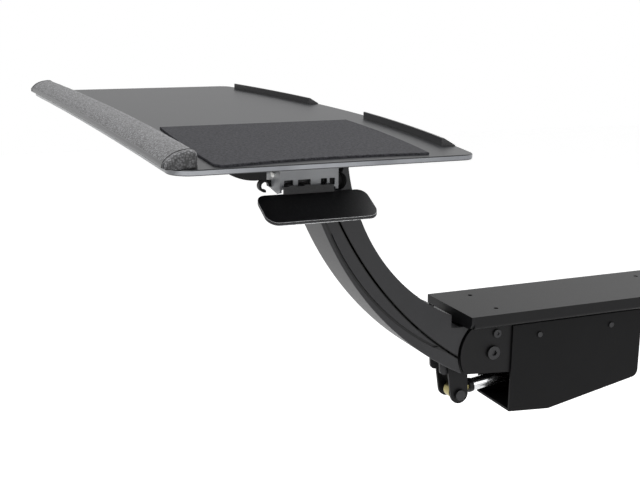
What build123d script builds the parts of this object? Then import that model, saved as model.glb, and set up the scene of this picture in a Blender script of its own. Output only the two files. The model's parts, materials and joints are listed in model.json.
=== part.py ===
from build123d import *
from math import asin, atan2, cos, degrees, hypot, radians, sin, sqrt
import os

# Keyboard tray on a height-adjusting arm that slides and swivels under a desk.
# All lengths are in millimetres. The origin is the middle of the track's top face, which lies
# against the underside of the desk. +Z is up, +Y points away from the user, +X is the user's right.

overrun = 2.0              # how far a cutting shape stands past what it cuts
running_gap = 0.05         # radial gap of a shaft that turns in a bore
seat_gap = 0.15            # gap between a part and the seat that holds it
plate_gap = 0.4            # gap between flat parts that turn past each other
same_size = 0.002          # two lengths that differ by less are taken as one
half_corner_angle = 45.0   # degrees, halfway round a square corner

# Track
track_length = 560.0
track_width = 100.0
track_height = 15.0
track_gauge = 2.0
track_slot = 52.0
track_corner = 1.5
track_hole_radius = 2.8
track_hole_spacing_x = 56.0
track_hole_end = 40.0      # from each end of the track to its outer holes
stop_plug_depth = 12.0
stop_flange = 4.0
stop_corner = 9.0

# Carriage that slides in the track
carriage_length = 150.0
carriage_gauge = 3.0
carriage_drop = 4.0        # from the inside of the track's web to the carriage plate
carriage_front_gap = 4.0
glide_length = 34.0
glide_width = 10.0
glide_grip = 5.0
glide_gap = 0.3
glide_round = 2.0
boss_radius = 22.0
boss_height = 8.0
washer_radius = 33.0
washer_thickness = 2.0
swivel_bolt_radius = 5.0
swivel_head_radius = 8.0
swivel_head_height = 2.6
swivel_nut_across = 17.0
swivel_nut_height = 8.0

# Main pivot and the places that hang on it
pivot_set_back = 36.0      # from the front end of the track to the arm's lower pivot
pivot_drop = 50.0          # from the underside of the desk to the arm's lower pivot
head_reach = 193.5         # from the arm's lower pivot forward to its upper pivot
head_rise = 206.5          # from the arm's lower pivot up to its upper pivot
link_offset_y = 4.0        # from each arm pivot to the parallel link's pivot
link_offset_z = 22.0
swivel_set_back = 61.0     # from the lower pivot back to the swivel axis

# Base bracket and shroud
bracket_gauge = 3.0
bracket_width = 64.0
bracket_nose_radius = 41.5
bracket_front_depth = 22.0
bracket_step_y = 30.0
bracket_step_depth = 27.0
bracket_rear_y = 176.0
bracket_rear_depth = 45.0
bracket_belly_y = 130.0
bracket_corner = 5.0
shroud_gauge = 2.6
shroud_front_y = 24.0
shroud_front_depth = 74.0
shroud_knee_y = 78.0
shroud_knee_depth = 78.0
shroud_rear_y = 205.0
shroud_rear_depth = 54.0
shroud_top_drop = 21.0     # from the desk to the shroud's upper edge
shroud_corner = 9.0
shroud_screw_y = 60.0
shroud_screw_pitch = 100.0
shroud_screw_z = 15.0
shroud_screw_radius = 1.9
shroud_screw_head = 3.4

# Pivot hardware
main_shaft_radius = 5.0
main_head_radius = 8.0
main_head_height = 3.6
main_nut_across = 15.0
socket_across = 6.0
socket_depth = 2.2
link_socket_across = 4.0
link_socket_depth = 1.1
spacer_radius = 8.5
link_pin_radius = 3.0
link_head_radius = 5.0
link_head_height = 2.6
link_spacer_radius = 5.0

# Arm
arm_width = 60.0
arm_outer_low = 75.62      # how far each long arc stands in front of the lower pivot, level with it
arm_outer_high = 32.75     # and how far in front of the upper pivot, level with that
arm_inner_low = 57.03      # the inner arc is counted level with the track's top
arm_inner_high = -13.82
arm_seam_low = 46.59
arm_seam_high = 16.54
arm_seam_radius = 428.0
groove_low = 42.37
groove_high = 26.28
groove_radius = 298.0
groove_reach = 200.0
groove_low_z = 14.0
arm_step_y = -54.0         # flat under the track, so that the arm can swivel
arm_step_z = 33.5
arm_horn_z = 22.0          # the tip behind the upper pivot
arm_shoulder_z = 1.5
arm_shoulder_drop = 36.0
arm_edge_round = 1.5
skin_start_low = 54.0      # where the skins across the arm begin, from each pivot
skin_start_top = 24.5
web_inset = 18.5
web_low_angle = 165.0
web_low_spread = 38.0
web_low_radius = 6.0
web_top_radius = 44.0
web_top_angle = 78.0
web_top_spread = 28.0
cover_screw_rises = (123.0, 59.0)    # from the lower pivot up to the cover's screws
post_x = 19.0
post_radius = 4.0
post_gap = 0.1
link_slot_width = 13.0
link_slot_reach = 52.0
torque_gauge = 3.0
stub_inner_x = 5.4
arm_wall = 3.0
arm_cover_wall = 2.4
arm_outer_radius = 367.0
arm_inner_radius = 221.0
arm_end_radius = 44.0      # the concave end that sweeps round the base bracket's nose
arm_recess_radius = 9.6    # the concave end round the upper pivot
seam_gap = 2.2
groove_width = 3.0
groove_depth = 2.0
arm_plate_gauge = 3.0
arm_plate_inner = 9.5      # from the arm's middle to the inner face of each plate
upper_lobe_radius = 12.0
lower_lobe_radius = 14.0
bush_wall = 1.6

# Torque legs and gas spring
torque_y = -31.0           # from the lower pivot to the gas spring's front pin
torque_z = -52.0
torque_lobe_radius = 11.0
torque_knee_y = -36.0
torque_knee_z = -8.0
torque_knee_radius = 13.0
torque_bolt_radius = 4.0
torque_head_radius = 6.3
torque_head_height = 4.0
torque_nut_across = 13.0
spring_length = 190.0      # between the two pins with the tray raised
spring_rise_angle = 7.3    # degrees that the spring rises to the rear
fitting_radius = 8.5
fitting_half_width = 6.0
fitting_stem_radius = 5.0
cap_start = 19.0
cap_length = 6.0
cap_radius = 8.2
tube_length = 88.0
tube_radius = 7.5
tube_wall = 1.5
tube_end = 3.0
rod_radius = 3.0
piston_radius = 5.8
piston_length = 5.0
anchor_pin_radius = 4.0
anchor_slot_travel = 9.6
anchor_slot_gap = 1.3

# Parallel link
link_thickness = 8.0
link_bar_width = 8.0
link_eye_radius = 6.0
link_bow = 72.0            # how far the link bows from the straight line between its pins

# Level lever and clutch on the upper pivot
level_inner = 14.0
level_gauge = 3.0
level_eye_radius = 9.0
level_tip_radius = 6.5
clutch_radius = 7.4

# Head housing, the boat-shaped shell under the tray
housing_width = 43.0
housing_wall = 2.0
housing_front_y = -118.0
housing_rear_y = 20.0
housing_belly_z = 4.0
housing_belly_front_y = -86.0
housing_belly_rear_y = -74.0
housing_arch_z = 15.0
housing_arch_rear_y = -19.0
housing_lobe_radius = 9.0
housing_tail_y = 9.5
housing_tail_z = 7.0
housing_tip_z = 15.0
housing_bulge = 2.0
cap_cover_radius = 7.6
cap_cover_height = 1.7
mount_plate_gauge = 3.0
mount_plate_width = 130.0
mount_plate_margin = 8.0
mount_plate_corner = 10.0
mount_screw_pitch_x = 108.0
mount_screw_pitch_y = 110.0
mount_screw_radius = 2.2
mount_screw_head = 4.2
mount_screw_head_height = 2.2
mount_screw_bite = 3.2

# Lever bracket, release lever and cable clip
ear_gauge = 2.0
lever_bracket_x = 25.5
lever_bracket_front_y = -61.5
lever_bracket_rear_y = 2.5
lever_bracket_low_z = -6.0
ear_left_x = -14.0
ear_left_z = -7.5
ear_low_z = -11.5
ear_high_z = 13.5
rear_ear_y = -19.0
rear_ear_low_z = 0.0
tab_low_z = -8.5
tab_width = 3.0
ear_left_drop = 7.0
rear_ear_left_x = 2.0
window_spans = ((-57.0, -47.0), (-42.0, -28.0), (-17.0, -10.0), (-7.5, -1.5))
window_corner = 0.8
neck_gauge = 3.0
paddle_root = 10.0
coil_start_y = -31.1
clip_x = -2.0
window_low_z = -4.0
window_high_z = 3.0
lever_rod_x = 7.0
lever_rod_z = 7.5
lever_rod_radius = 2.4
rivet_radius = 4.2
rivet_height = 1.6
knuckle_radius = 4.6
knuckle_width = 6.5
knuckle_foot = 3.0
tab_thickness = 2.2
tab_rise = 0.9
paddle_inner_x = 34.0
paddle_outer_x = 71.0
paddle_inner_z = -9.5
paddle_outer_z = -29.0
paddle_front_y = -90.0
paddle_rear_y = 29.0
paddle_thickness = 3.2
paddle_corner = 12.0
neck_front_y = -60.0
neck_rear_y = -6.0
clip_radius = 6.6
clip_wall = 2.6
clip_width = 7.0
clip_z = -6.0
clip_opening_angle = 70.0  # degrees
clip_mouth_angle = -45.0   # degrees, where the opening points, from level at the rear
spring_coil_radius = 3.9
spring_wire_radius = 0.5
spring_turns = 5
spring_pitch_length = 1.6

# Tray
tray_offset = 130.0        # the arm stands this far right of the tray's middle
tray_width = 686.0
tray_thickness = 5.0
tray_rise = 51.5           # from the upper pivot to the tray's top
tray_set_forward = 89.5    # from the upper pivot forward to the tray's datum line
tray_front = 134.0         # from the datum line to the front edge at the ends
tray_front_bow = 4.0
tray_rear = 138.0
tray_rear_bow = 34.0
tray_front_corner = 19.0
tray_rear_corner = 14.0
tray_edge = 0.8

# Palm rest, mouse pad and stops
rest_inset = 3.0
rest_depth_end = 27.0
rest_depth_middle = 31.0
rest_height = 14.8
rest_base_height = 3.0
rest_front_lap = 4.0
rest_nose_share = 0.16
rest_brow_share = 0.72
rest_crown_share = 0.62
rest_back_share = 0.97
rest_end_round = 9.0
pad_left = 95.0            # from the tray's middle
pad_right = 341.0
pad_waist = 327.0
pad_rear_right = 333.0
pad_front = 97.0
pad_rear_gap = 42.0
pad_thickness = 2.2
pad_corner = 9.0
pad_front_left = 77.0
pad_front_bow = 8.0
pad_waist_shift = 0.0
stop_height = 7.6
stop_depth = 13.0
stop_edge_gap = 1.5
stop_inner = 78.0
stop_outer = 292.0
stop_ridge = 2.0
screw_radius = 1.6
screw_head_radius = 3.2
screw_head_height = 1.6
screw_bite = 4.5
stop_screw_count = 3

# Places worked out from the sizes above
track_front_y = -track_length / 2
pivot_y = track_front_y + pivot_set_back
pivot_z = -pivot_drop
head_y = pivot_y - head_reach
head_z = pivot_z + head_rise
swivel_y = pivot_y + swivel_set_back
track_hole_spacing_y = track_length - 2 * track_hole_end
carriage_plate_top = -track_gauge - carriage_drop
boss_top = carriage_plate_top - carriage_gauge
washer_top = boss_top - boss_height
bracket_top = washer_top - washer_thickness
bracket_half = bracket_width / 2
arm_half = arm_width / 2
arm_plate_outer = arm_plate_inner + arm_plate_gauge
level_outer = level_inner + level_gauge
torque_plate_outer = arm_plate_outer + torque_gauge
housing_half = housing_width / 2
tray_top = head_z + tray_rise
tray_bottom = tray_top - tray_thickness
tray_y = head_y - tray_set_forward
tray_x = -tray_offset
tray_half = tray_width / 2
housing_top = tray_bottom - mount_plate_gauge


def by_pivot(y, z):
    """A place in a side view, counted from the arm's lower pivot."""
    return (pivot_y + y, pivot_z + z)


def by_head(y, z):
    """A place in a side view, counted from the arm's upper pivot."""
    return (head_y + y, head_z + z)


def by_tray(x, y):
    """A place in a top view, counted from the tray's middle and its datum line."""
    return (tray_x + x, tray_y + y)


def arc_centre(start, end, radius, side):
    """The centre of the arc of this radius through two places, on the chord's given side."""
    middle = ((start[0] + end[0]) / 2, (start[1] + end[1]) / 2)
    chord = (end[0] - start[0], end[1] - start[1])
    length = hypot(*chord)
    height = sqrt(radius**2 - (length / 2) ** 2)
    return (middle[0] - side * chord[1] / length * height, middle[1] + side * chord[0] / length * height)


pieces = {}

# Track: a C-shaped steel rail with its web against the desk and its lips below
with BuildPart() as track_rail:
    with BuildSketch(Plane.XZ.offset(-track_length / 2)) as rail_profile:
        with Locations((0, -track_height / 2)):
            Rectangle(track_width, track_height)
        fillet(rail_profile.vertices().group_by(Axis.Y)[0], track_corner + track_gauge)
        with BuildSketch(mode=Mode.PRIVATE) as rail_hollow:
            with Locations((0, -track_height / 2)):
                Rectangle(track_width - 2 * track_gauge, track_height - 2 * track_gauge)
            fillet(rail_hollow.vertices().group_by(Axis.Y)[0], track_corner)
        add(rail_hollow.sketch, mode=Mode.SUBTRACT)
        with Locations((0, -track_height)):
            Rectangle(track_slot, track_height, mode=Mode.SUBTRACT)
    extrude(amount=track_length)
    for row in (-1, 0, 1):
        for side in (-1, 1):
            with Locations((side * track_hole_spacing_x / 2, row * track_hole_spacing_y / 2, 0)):
                Hole(track_hole_radius, track_gauge + overrun)
pieces["track_rail"] = track_rail


def track_stop(end):
    """A moulded plug with a flange that closes one end of the rail; end is -1 in front, 1 behind."""
    with BuildPart() as stop:
        with BuildSketch(Plane.XZ.offset(-end * track_length / 2)) as flange:
            with Locations((0, -track_height / 2)):
                Rectangle(track_width, track_height)
            fillet(flange.vertices().group_by(Axis.Y)[0], stop_corner)
        extrude(amount=-end * stop_flange)
        with BuildSketch(Plane.XZ.offset(-end * track_length / 2)) as plug:
            with Locations((0, -track_height / 2)):
                Rectangle(
                    track_width - 2 * (track_gauge + seat_gap), track_height - 2 * (track_gauge + seat_gap)
                )
            fillet(plug.vertices().group_by(Axis.Y)[0], track_corner)
        extrude(amount=end * stop_plug_depth)
    return stop


pieces["track_front_stop"] = track_stop(-1)
pieces["track_rear_stop"] = track_stop(1)

# Carriage: a steel plate held in the rail by four moulded glides
carriage_half = track_width / 2 - track_gauge - glide_gap - glide_width + glide_grip
carriage_y = track_front_y + stop_plug_depth + carriage_front_gap + carriage_length / 2
with BuildPart() as carriage_plate:
    with BuildSketch(Plane.XY.offset(boss_top)) as carriage_outline:
        with Locations((0, carriage_y)):
            Rectangle(2 * carriage_half, carriage_length)
        fillet(carriage_outline.vertices(), track_corner)
    extrude(amount=carriage_gauge)
    with Locations((0, swivel_y, carriage_plate_top)):
        Hole(swivel_bolt_radius + running_gap)
pieces["carriage_plate"] = carriage_plate

glide_height = track_height - 2 * (track_gauge + glide_gap)
glide_x = track_width / 2 - track_gauge - glide_gap - glide_width / 2
glide_pitch = carriage_length - glide_length
with BuildPart() as carriage_glides:
    for side in (-1, 1):
        for end in (-1, 1):
            with BuildSketch(Plane.XY.offset(-track_height / 2 - glide_height / 2)) as glide:
                with Locations((side * glide_x, carriage_y + end * glide_pitch / 2)):
                    Rectangle(glide_width, glide_length)
            extrude(amount=glide_height)
    fillet(carriage_glides.edges().filter_by(Axis.Y), glide_round)
    with BuildSketch(Plane.XY.offset(boss_top - seat_gap)) as grip:
        with Locations((0, carriage_y)):
            Rectangle(2 * (carriage_half + seat_gap), carriage_length + 2 * overrun)
    extrude(amount=carriage_gauge + 2 * seat_gap, mode=Mode.SUBTRACT)
pieces["carriage_glides"] = carriage_glides

with BuildPart() as carriage_boss:
    with BuildSketch(Plane.XY.offset(washer_top)):
        with Locations((0, swivel_y)):
            Circle(boss_radius)
            Circle(swivel_bolt_radius + running_gap, mode=Mode.SUBTRACT)
    extrude(amount=boss_height)
pieces["carriage_boss"] = carriage_boss

with BuildPart() as swivel_washer:
    with BuildSketch(Plane.XY.offset(bracket_top)):
        with Locations((0, swivel_y)):
            Circle(washer_radius)
            Circle(swivel_bolt_radius + running_gap, mode=Mode.SUBTRACT)
    extrude(amount=washer_thickness)
pieces["swivel_washer"] = swivel_washer

swivel_nut_top = bracket_top - bracket_gauge - plate_gap
with BuildPart() as swivel_bolt:
    with BuildSketch(Plane.XY.offset(carriage_plate_top)):
        with Locations((0, swivel_y)):
            Circle(swivel_head_radius)
    extrude(amount=swivel_head_height)
    with BuildSketch(Plane.XY.offset(swivel_nut_top - swivel_nut_height - overrun)):
        with Locations((0, swivel_y)):
            Circle(swivel_bolt_radius)
    extrude(amount=carriage_plate_top - swivel_nut_top + swivel_nut_height + overrun)
pieces["swivel_bolt"] = swivel_bolt

with BuildPart() as swivel_nut:
    with BuildSketch(Plane.XY.offset(swivel_nut_top - swivel_nut_height)):
        with Locations((0, swivel_y)):
            RegularPolygon(swivel_nut_across / 2, 6, major_radius=False)
            Circle(swivel_bolt_radius + running_gap, mode=Mode.SUBTRACT)
    extrude(amount=swivel_nut_height)
pieces["swivel_nut"] = swivel_nut

# Gas spring line: from the torque pin back and up to the anchor pin
spring_cos = cos(radians(spring_rise_angle))
spring_sin = sin(radians(spring_rise_angle))
torque_place = by_pivot(torque_y, torque_z)
anchor_place = (torque_place[0] + spring_length * spring_cos, torque_place[1] + spring_length * spring_sin)

# Base bracket: a folded steel channel under the carriage, with a round nose that the arm sweeps
bracket_roof = bracket_top - pivot_z
nose_top_y = -sqrt(bracket_nose_radius**2 - bracket_roof**2)
nose_low_y = -sqrt(bracket_nose_radius**2 - bracket_front_depth**2)
with BuildPart() as base_bracket:
    with BuildSketch(Plane.YZ.offset(-bracket_half)):
        with BuildLine():
            ThreePointArc(
                by_pivot(nose_top_y, bracket_roof),
                by_pivot(-bracket_nose_radius, 0),
                by_pivot(nose_low_y, -bracket_front_depth),
            )
            Polyline(
                by_pivot(nose_low_y, -bracket_front_depth),
                by_pivot(bracket_step_y, -bracket_step_depth),
                by_pivot(bracket_belly_y, -bracket_rear_depth),
                by_pivot(bracket_rear_y, -bracket_rear_depth),
                by_pivot(bracket_rear_y, bracket_roof),
                by_pivot(nose_top_y, bracket_roof),
            )
        make_face()
    extrude(amount=bracket_width)
    fillet(base_bracket.edges().filter_by(Axis.X).group_by(Axis.Y)[-1].sort_by(Axis.Z)[0], bracket_corner)
    inner_half = bracket_half - bracket_gauge
    with BuildSketch(Plane.YZ.offset(-inner_half)):
        with BuildLine():
            Polyline(
                by_pivot(-bracket_nose_radius - overrun, bracket_roof - bracket_gauge),
                by_pivot(bracket_rear_y + overrun, bracket_roof - bracket_gauge),
                by_pivot(bracket_rear_y + overrun, -bracket_rear_depth - overrun),
                by_pivot(-bracket_nose_radius - overrun, -bracket_rear_depth - overrun),
                close=True,
            )
        make_face()
    extrude(amount=2 * inner_half, mode=Mode.SUBTRACT)
    with BuildSketch(Plane.YZ.offset(-bracket_half)):
        with Locations(by_pivot(0, 0)):
            Circle(main_shaft_radius + running_gap)
        with Locations(by_pivot(link_offset_y, link_offset_z)):
            Circle(link_pin_radius + running_gap)
        with Locations((
            anchor_place[0] + spring_sin * anchor_slot_travel / 2,
            anchor_place[1] - spring_cos * anchor_slot_travel / 2,
        )):
            SlotCenterToCenter(
                anchor_slot_travel, 2 * (anchor_pin_radius + anchor_slot_gap), rotation=90 + spring_rise_angle
            )
    extrude(amount=bracket_width, mode=Mode.SUBTRACT)
    with Locations((0, swivel_y, bracket_top)):
        Hole(swivel_bolt_radius + running_gap, bracket_gauge + overrun)
pieces["base_bracket"] = base_bracket

# Shroud: a moulded trough that hides the gas spring, open in front and on top
shroud_inner_half = bracket_half + seat_gap
shroud_half = shroud_inner_half + shroud_gauge
shroud_roof = -shroud_top_drop - pivot_z
with BuildPart() as shroud:
    with BuildSketch(Plane.YZ.offset(-shroud_half)):
        with BuildLine():
            Polyline(
                by_pivot(shroud_front_y, shroud_roof),
                by_pivot(shroud_front_y, -shroud_front_depth),
                by_pivot(shroud_knee_y, -shroud_knee_depth),
                by_pivot(shroud_rear_y, -shroud_rear_depth),
                by_pivot(shroud_rear_y, shroud_roof),
                close=True,
            )
        make_face()
    extrude(amount=2 * shroud_half)
    fillet(shroud.edges().filter_by(Axis.X).group_by(Axis.Y)[-1].sort_by(Axis.Z)[0], shroud_corner)
    with BuildSketch(Plane.YZ.offset(-shroud_inner_half)) as trough:
        with BuildLine():
            Polyline(
                by_pivot(shroud_front_y - overrun, shroud_roof + overrun),
                by_pivot(shroud_front_y - overrun, -shroud_front_depth + shroud_gauge),
                by_pivot(shroud_front_y, -shroud_front_depth + shroud_gauge),
                by_pivot(shroud_knee_y, -shroud_knee_depth + shroud_gauge),
                by_pivot(shroud_rear_y - shroud_gauge, -shroud_rear_depth + shroud_gauge),
                by_pivot(shroud_rear_y - shroud_gauge, shroud_roof + overrun),
                close=True,
            )
        make_face()
        fillet(
            trough.vertices().group_by(Axis.X)[-1].sort_by(Axis.Y)[0], shroud_corner - shroud_gauge
        )
    extrude(amount=2 * shroud_inner_half, mode=Mode.SUBTRACT)
    for step in (0, 1):
        with BuildSketch(Plane.YZ.offset(-shroud_half)):
            with Locations(by_pivot(shroud_screw_y + step * shroud_screw_pitch, shroud_screw_z)):
                Circle(shroud_screw_radius + running_gap)
        extrude(amount=2 * shroud_half, mode=Mode.SUBTRACT)
pieces["shroud"] = shroud

with BuildPart() as shroud_screws:
    for side in (-1, 1):
        for step in (0, 1):
            screw_place = by_pivot(shroud_screw_y + step * shroud_screw_pitch, shroud_screw_z)
            with BuildSketch(Plane.YZ.offset(side * shroud_half)):
                with Locations(screw_place):
                    Circle(shroud_screw_head)
            extrude(amount=side * shroud_screw_radius)
            with BuildSketch(Plane.YZ.offset(side * bracket_half)):
                with Locations(screw_place):
                    Circle(shroud_screw_radius)
            extrude(amount=side * (shroud_half - bracket_half))
    fillet(
        shroud_screws.faces().filter_by(Axis.X).sort_by(Axis.X)[-2:].edges()
        + shroud_screws.faces().filter_by(Axis.X).sort_by(Axis.X)[:2].edges(),
        shroud_screw_radius / 2,
    )
pieces["shroud_screws"] = shroud_screws


def stub_bolts(place, inner_x, outer_x, head_radius, head_height, with_socket):
    """Two short pivot bolts that point at each other and leave the middle of the arm free."""
    with BuildPart() as bolts:
        for side in (-1, 1):
            with BuildSketch(Plane.YZ.offset(side * inner_x)):
                with Locations(place):
                    Circle(main_shaft_radius)
            extrude(amount=side * (outer_x - inner_x))
            with BuildSketch(Plane.YZ.offset(side * outer_x)):
                with Locations(place):
                    Circle(head_radius)
            extrude(amount=side * head_height)
        for face in (bolts.faces().sort_by(Axis.X)[0], bolts.faces().sort_by(Axis.X)[-1]):
            fillet(face.edges(), head_height / 4)
        if with_socket:
            for side in (-1, 1):
                with BuildSketch(Plane.YZ.offset(side * (outer_x + head_height))):
                    with Locations(place):
                        RegularPolygon(socket_across / 2, 6, major_radius=False)
                extrude(amount=-side * socket_depth, mode=Mode.SUBTRACT)
    return bolts


def stub_nuts(place):
    """The thin nuts on the inner ends of two pivot bolts."""
    with BuildPart() as nuts:
        for side in (-1, 1):
            with BuildSketch(Plane.YZ.offset(side * stub_inner_x)):
                with Locations(place):
                    RegularPolygon(main_nut_across / 2, 6, major_radius=False)
                    Circle(main_shaft_radius + running_gap, mode=Mode.SUBTRACT)
            extrude(amount=side * (arm_plate_inner - plate_gap - stub_inner_x))
    return nuts


pieces["main_pivot_bolts"] = stub_bolts(
    by_pivot(0, 0), stub_inner_x, bracket_half, main_head_radius, main_head_height, True
)
pieces["main_pivot_nuts"] = stub_nuts(by_pivot(0, 0))

with BuildPart() as link_pivot_screw:
    link_place = by_pivot(link_offset_y, link_offset_z)
    with BuildSketch(Plane.YZ.offset(-bracket_half)):
        with Locations(link_place):
            Circle(link_pin_radius)
    extrude(amount=bracket_width)
    for side in (-1, 1):
        with BuildSketch(Plane.YZ.offset(side * bracket_half)):
            with Locations(link_place):
                Circle(link_head_radius)
        extrude(amount=side * link_head_height)
    fillet(link_pivot_screw.faces().sort_by(Axis.X)[-1].edges(), link_head_height / 4)
    with BuildSketch(Plane.YZ.offset(bracket_half + link_head_height)):
        with Locations(link_place):
            RegularPolygon(link_socket_across / 2, 6, major_radius=False)
    extrude(amount=-link_socket_depth, mode=Mode.SUBTRACT)
pieces["link_pivot_screw"] = link_pivot_screw


def spacer_pair(place, start, end, outer, inner):
    """Two tubes on one shaft, one on each side of the middle plane."""
    with BuildPart() as tubes:
        for side in (-1, 1):
            with BuildSketch(Plane.YZ.offset(side * start)):
                with Locations(place):
                    Circle(outer)
                    Circle(inner, mode=Mode.SUBTRACT)
            extrude(amount=side * (end - start))
    return tubes


pieces["pivot_spacers"] = spacer_pair(
    by_pivot(0, 0), torque_plate_outer + plate_gap, inner_half,
    spacer_radius, main_shaft_radius + running_gap,
)
pieces["link_spacers"] = spacer_pair(
    by_pivot(link_offset_y, link_offset_z), link_thickness / 2 + plate_gap, inner_half,
    link_spacer_radius, link_pin_radius + running_gap,
)

# Arm in side view. Its outer and inner faces and the seam between its two shells are arcs.
outer_centre = arc_centre(by_pivot(-arm_outer_low, 0), by_head(-arm_outer_high, 0), arm_outer_radius, -1)
inner_centre = arc_centre(
    by_pivot(-arm_inner_low, pivot_drop), by_head(-arm_inner_high, 0), arm_inner_radius, -1
)
seam_centre = arc_centre(by_pivot(-arm_seam_low, 0), by_head(-arm_seam_high, 0), arm_seam_radius, -1)
groove_centre = arc_centre(by_pivot(-groove_low, 0), by_head(-groove_high, 0), groove_radius, -1)
pivot_place = by_pivot(0, 0)
head_place = by_head(0, 0)
cover_screw_angles = [
    degrees(atan2(pivot_z + rise - inner_centre[1], -sqrt(
        arm_inner_radius**2 - (pivot_z + rise - inner_centre[1]) ** 2
    )))
    for rise in cover_screw_rises
]


def crossing(centre_a, radius_a, centre_b, radius_b, side):
    """Where two circles in a side view cross; side picks the left or right of the line of centres."""
    gap = hypot(centre_b[0] - centre_a[0], centre_b[1] - centre_a[1])
    along = (gap**2 + radius_a**2 - radius_b**2) / (2 * gap)
    off = sqrt(radius_a**2 - along**2)
    direction = ((centre_b[0] - centre_a[0]) / gap, (centre_b[1] - centre_a[1]) / gap)
    return (
        centre_a[0] + along * direction[0] - side * off * direction[1],
        centre_a[1] + along * direction[1] + side * off * direction[0],
    )


def arc_through(centre, radius, start, end):
    """The place halfway along an arc, as the middle one of its three places."""
    middle = ((start[0] + end[0]) / 2 - centre[0], (start[1] + end[1]) / 2 - centre[1])
    length = hypot(*middle)
    return (centre[0] + radius * middle[0] / length, centre[1] + radius * middle[1] / length)


def arm_region(shrink, low_radius, top_radius):
    """The arm's outline in side view, its long faces moved inward and its ends set off the pivots."""
    outer = arm_outer_radius - shrink[0]
    inner = arm_inner_radius + shrink[1]
    low_outer = crossing(pivot_place, low_radius, outer_centre, outer, 1)
    step_z = arm_step_z - shrink[1]
    step_low = by_pivot(-sqrt(low_radius**2 - step_z**2), step_z)
    step_y = pivot_y + arm_step_y - shrink[1]
    step_top = (step_y, inner_centre[1] - sqrt(inner**2 - (step_y - inner_centre[0]) ** 2))
    horn_z = head_z + arm_horn_z
    horn = (inner_centre[0] - sqrt(inner**2 - (horn_z - inner_centre[1]) ** 2), horn_z)
    horn_angle = atan2(horn[1] - head_z, horn[0] - head_y)
    recess_start = (head_y + top_radius * cos(horn_angle), head_z + top_radius * sin(horn_angle))
    recess_low = (head_y, head_z - top_radius)
    recess_end = (head_y - sqrt(top_radius**2 - arm_shoulder_z**2), head_z - arm_shoulder_z)
    shoulder = (
        outer_centre[0] - sqrt(outer**2 - (head_z - arm_shoulder_drop - outer_centre[1]) ** 2),
        head_z - arm_shoulder_drop,
    )
    with BuildSketch(Plane.YZ, mode=Mode.PRIVATE) as region:
        with BuildLine():
            ThreePointArc(low_outer, arc_through(pivot_place, low_radius, low_outer, step_low), step_low)
            Line(step_low, (step_y, step_low[1]))
            Line((step_y, step_low[1]), step_top)
            ThreePointArc(step_top, arc_through(inner_centre, inner, step_top, horn), horn)
            Line(horn, recess_start)
            ThreePointArc(recess_start, recess_low, recess_end)
            Line(recess_end, shoulder)
            ThreePointArc(shoulder, arc_through(outer_centre, outer, shoulder, low_outer), low_outer)
        make_face()
    return region.sketch


def nearer_crossing(centre_a, radius_a, centre_b, radius_b):
    """The crossing of two circles that lies nearer to the middle of the arm."""
    arm_middle = ((pivot_y + head_y) / 2, (pivot_z + head_z) / 2)
    spots = [crossing(centre_a, radius_a, centre_b, radius_b, side) for side in (-1, 1)]
    return min(spots, key=lambda spot: hypot(spot[0] - arm_middle[0], spot[1] - arm_middle[1]))


def extrude_across(region, inner_x, outer_x, mode=Mode.ADD):
    """Extrudes a side view on both sides of the middle plane, from one x to another."""
    for side in (-1, 1):
        extrude(region.moved(Location((side * inner_x, 0, 0))), amount=side * (outer_x - inner_x),
                dir=(1, 0, 0), mode=mode)


def hull_sketch(circles):
    """A side view outline that wraps round circles given as places and radii."""
    with BuildSketch(Plane.YZ, mode=Mode.PRIVATE) as outline:
        for place, radius in circles:
            with Locations(place):
                Circle(radius)
        make_hull()
    return outline.sketch


def ring_place(centre, radius, angle):
    """A place on a circle in side view, by its angle in degrees."""
    return (centre[0] + radius * cos(radians(angle)), centre[1] + radius * sin(radians(angle)))


skin_hollow = arm_region((arm_wall, arm_cover_wall), skin_start_low - overrun, arm_recess_radius)
full_side = arm_region((0, 0), arm_end_radius, arm_recess_radius)
bush_outer = main_shaft_radius + running_gap + bush_wall

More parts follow.
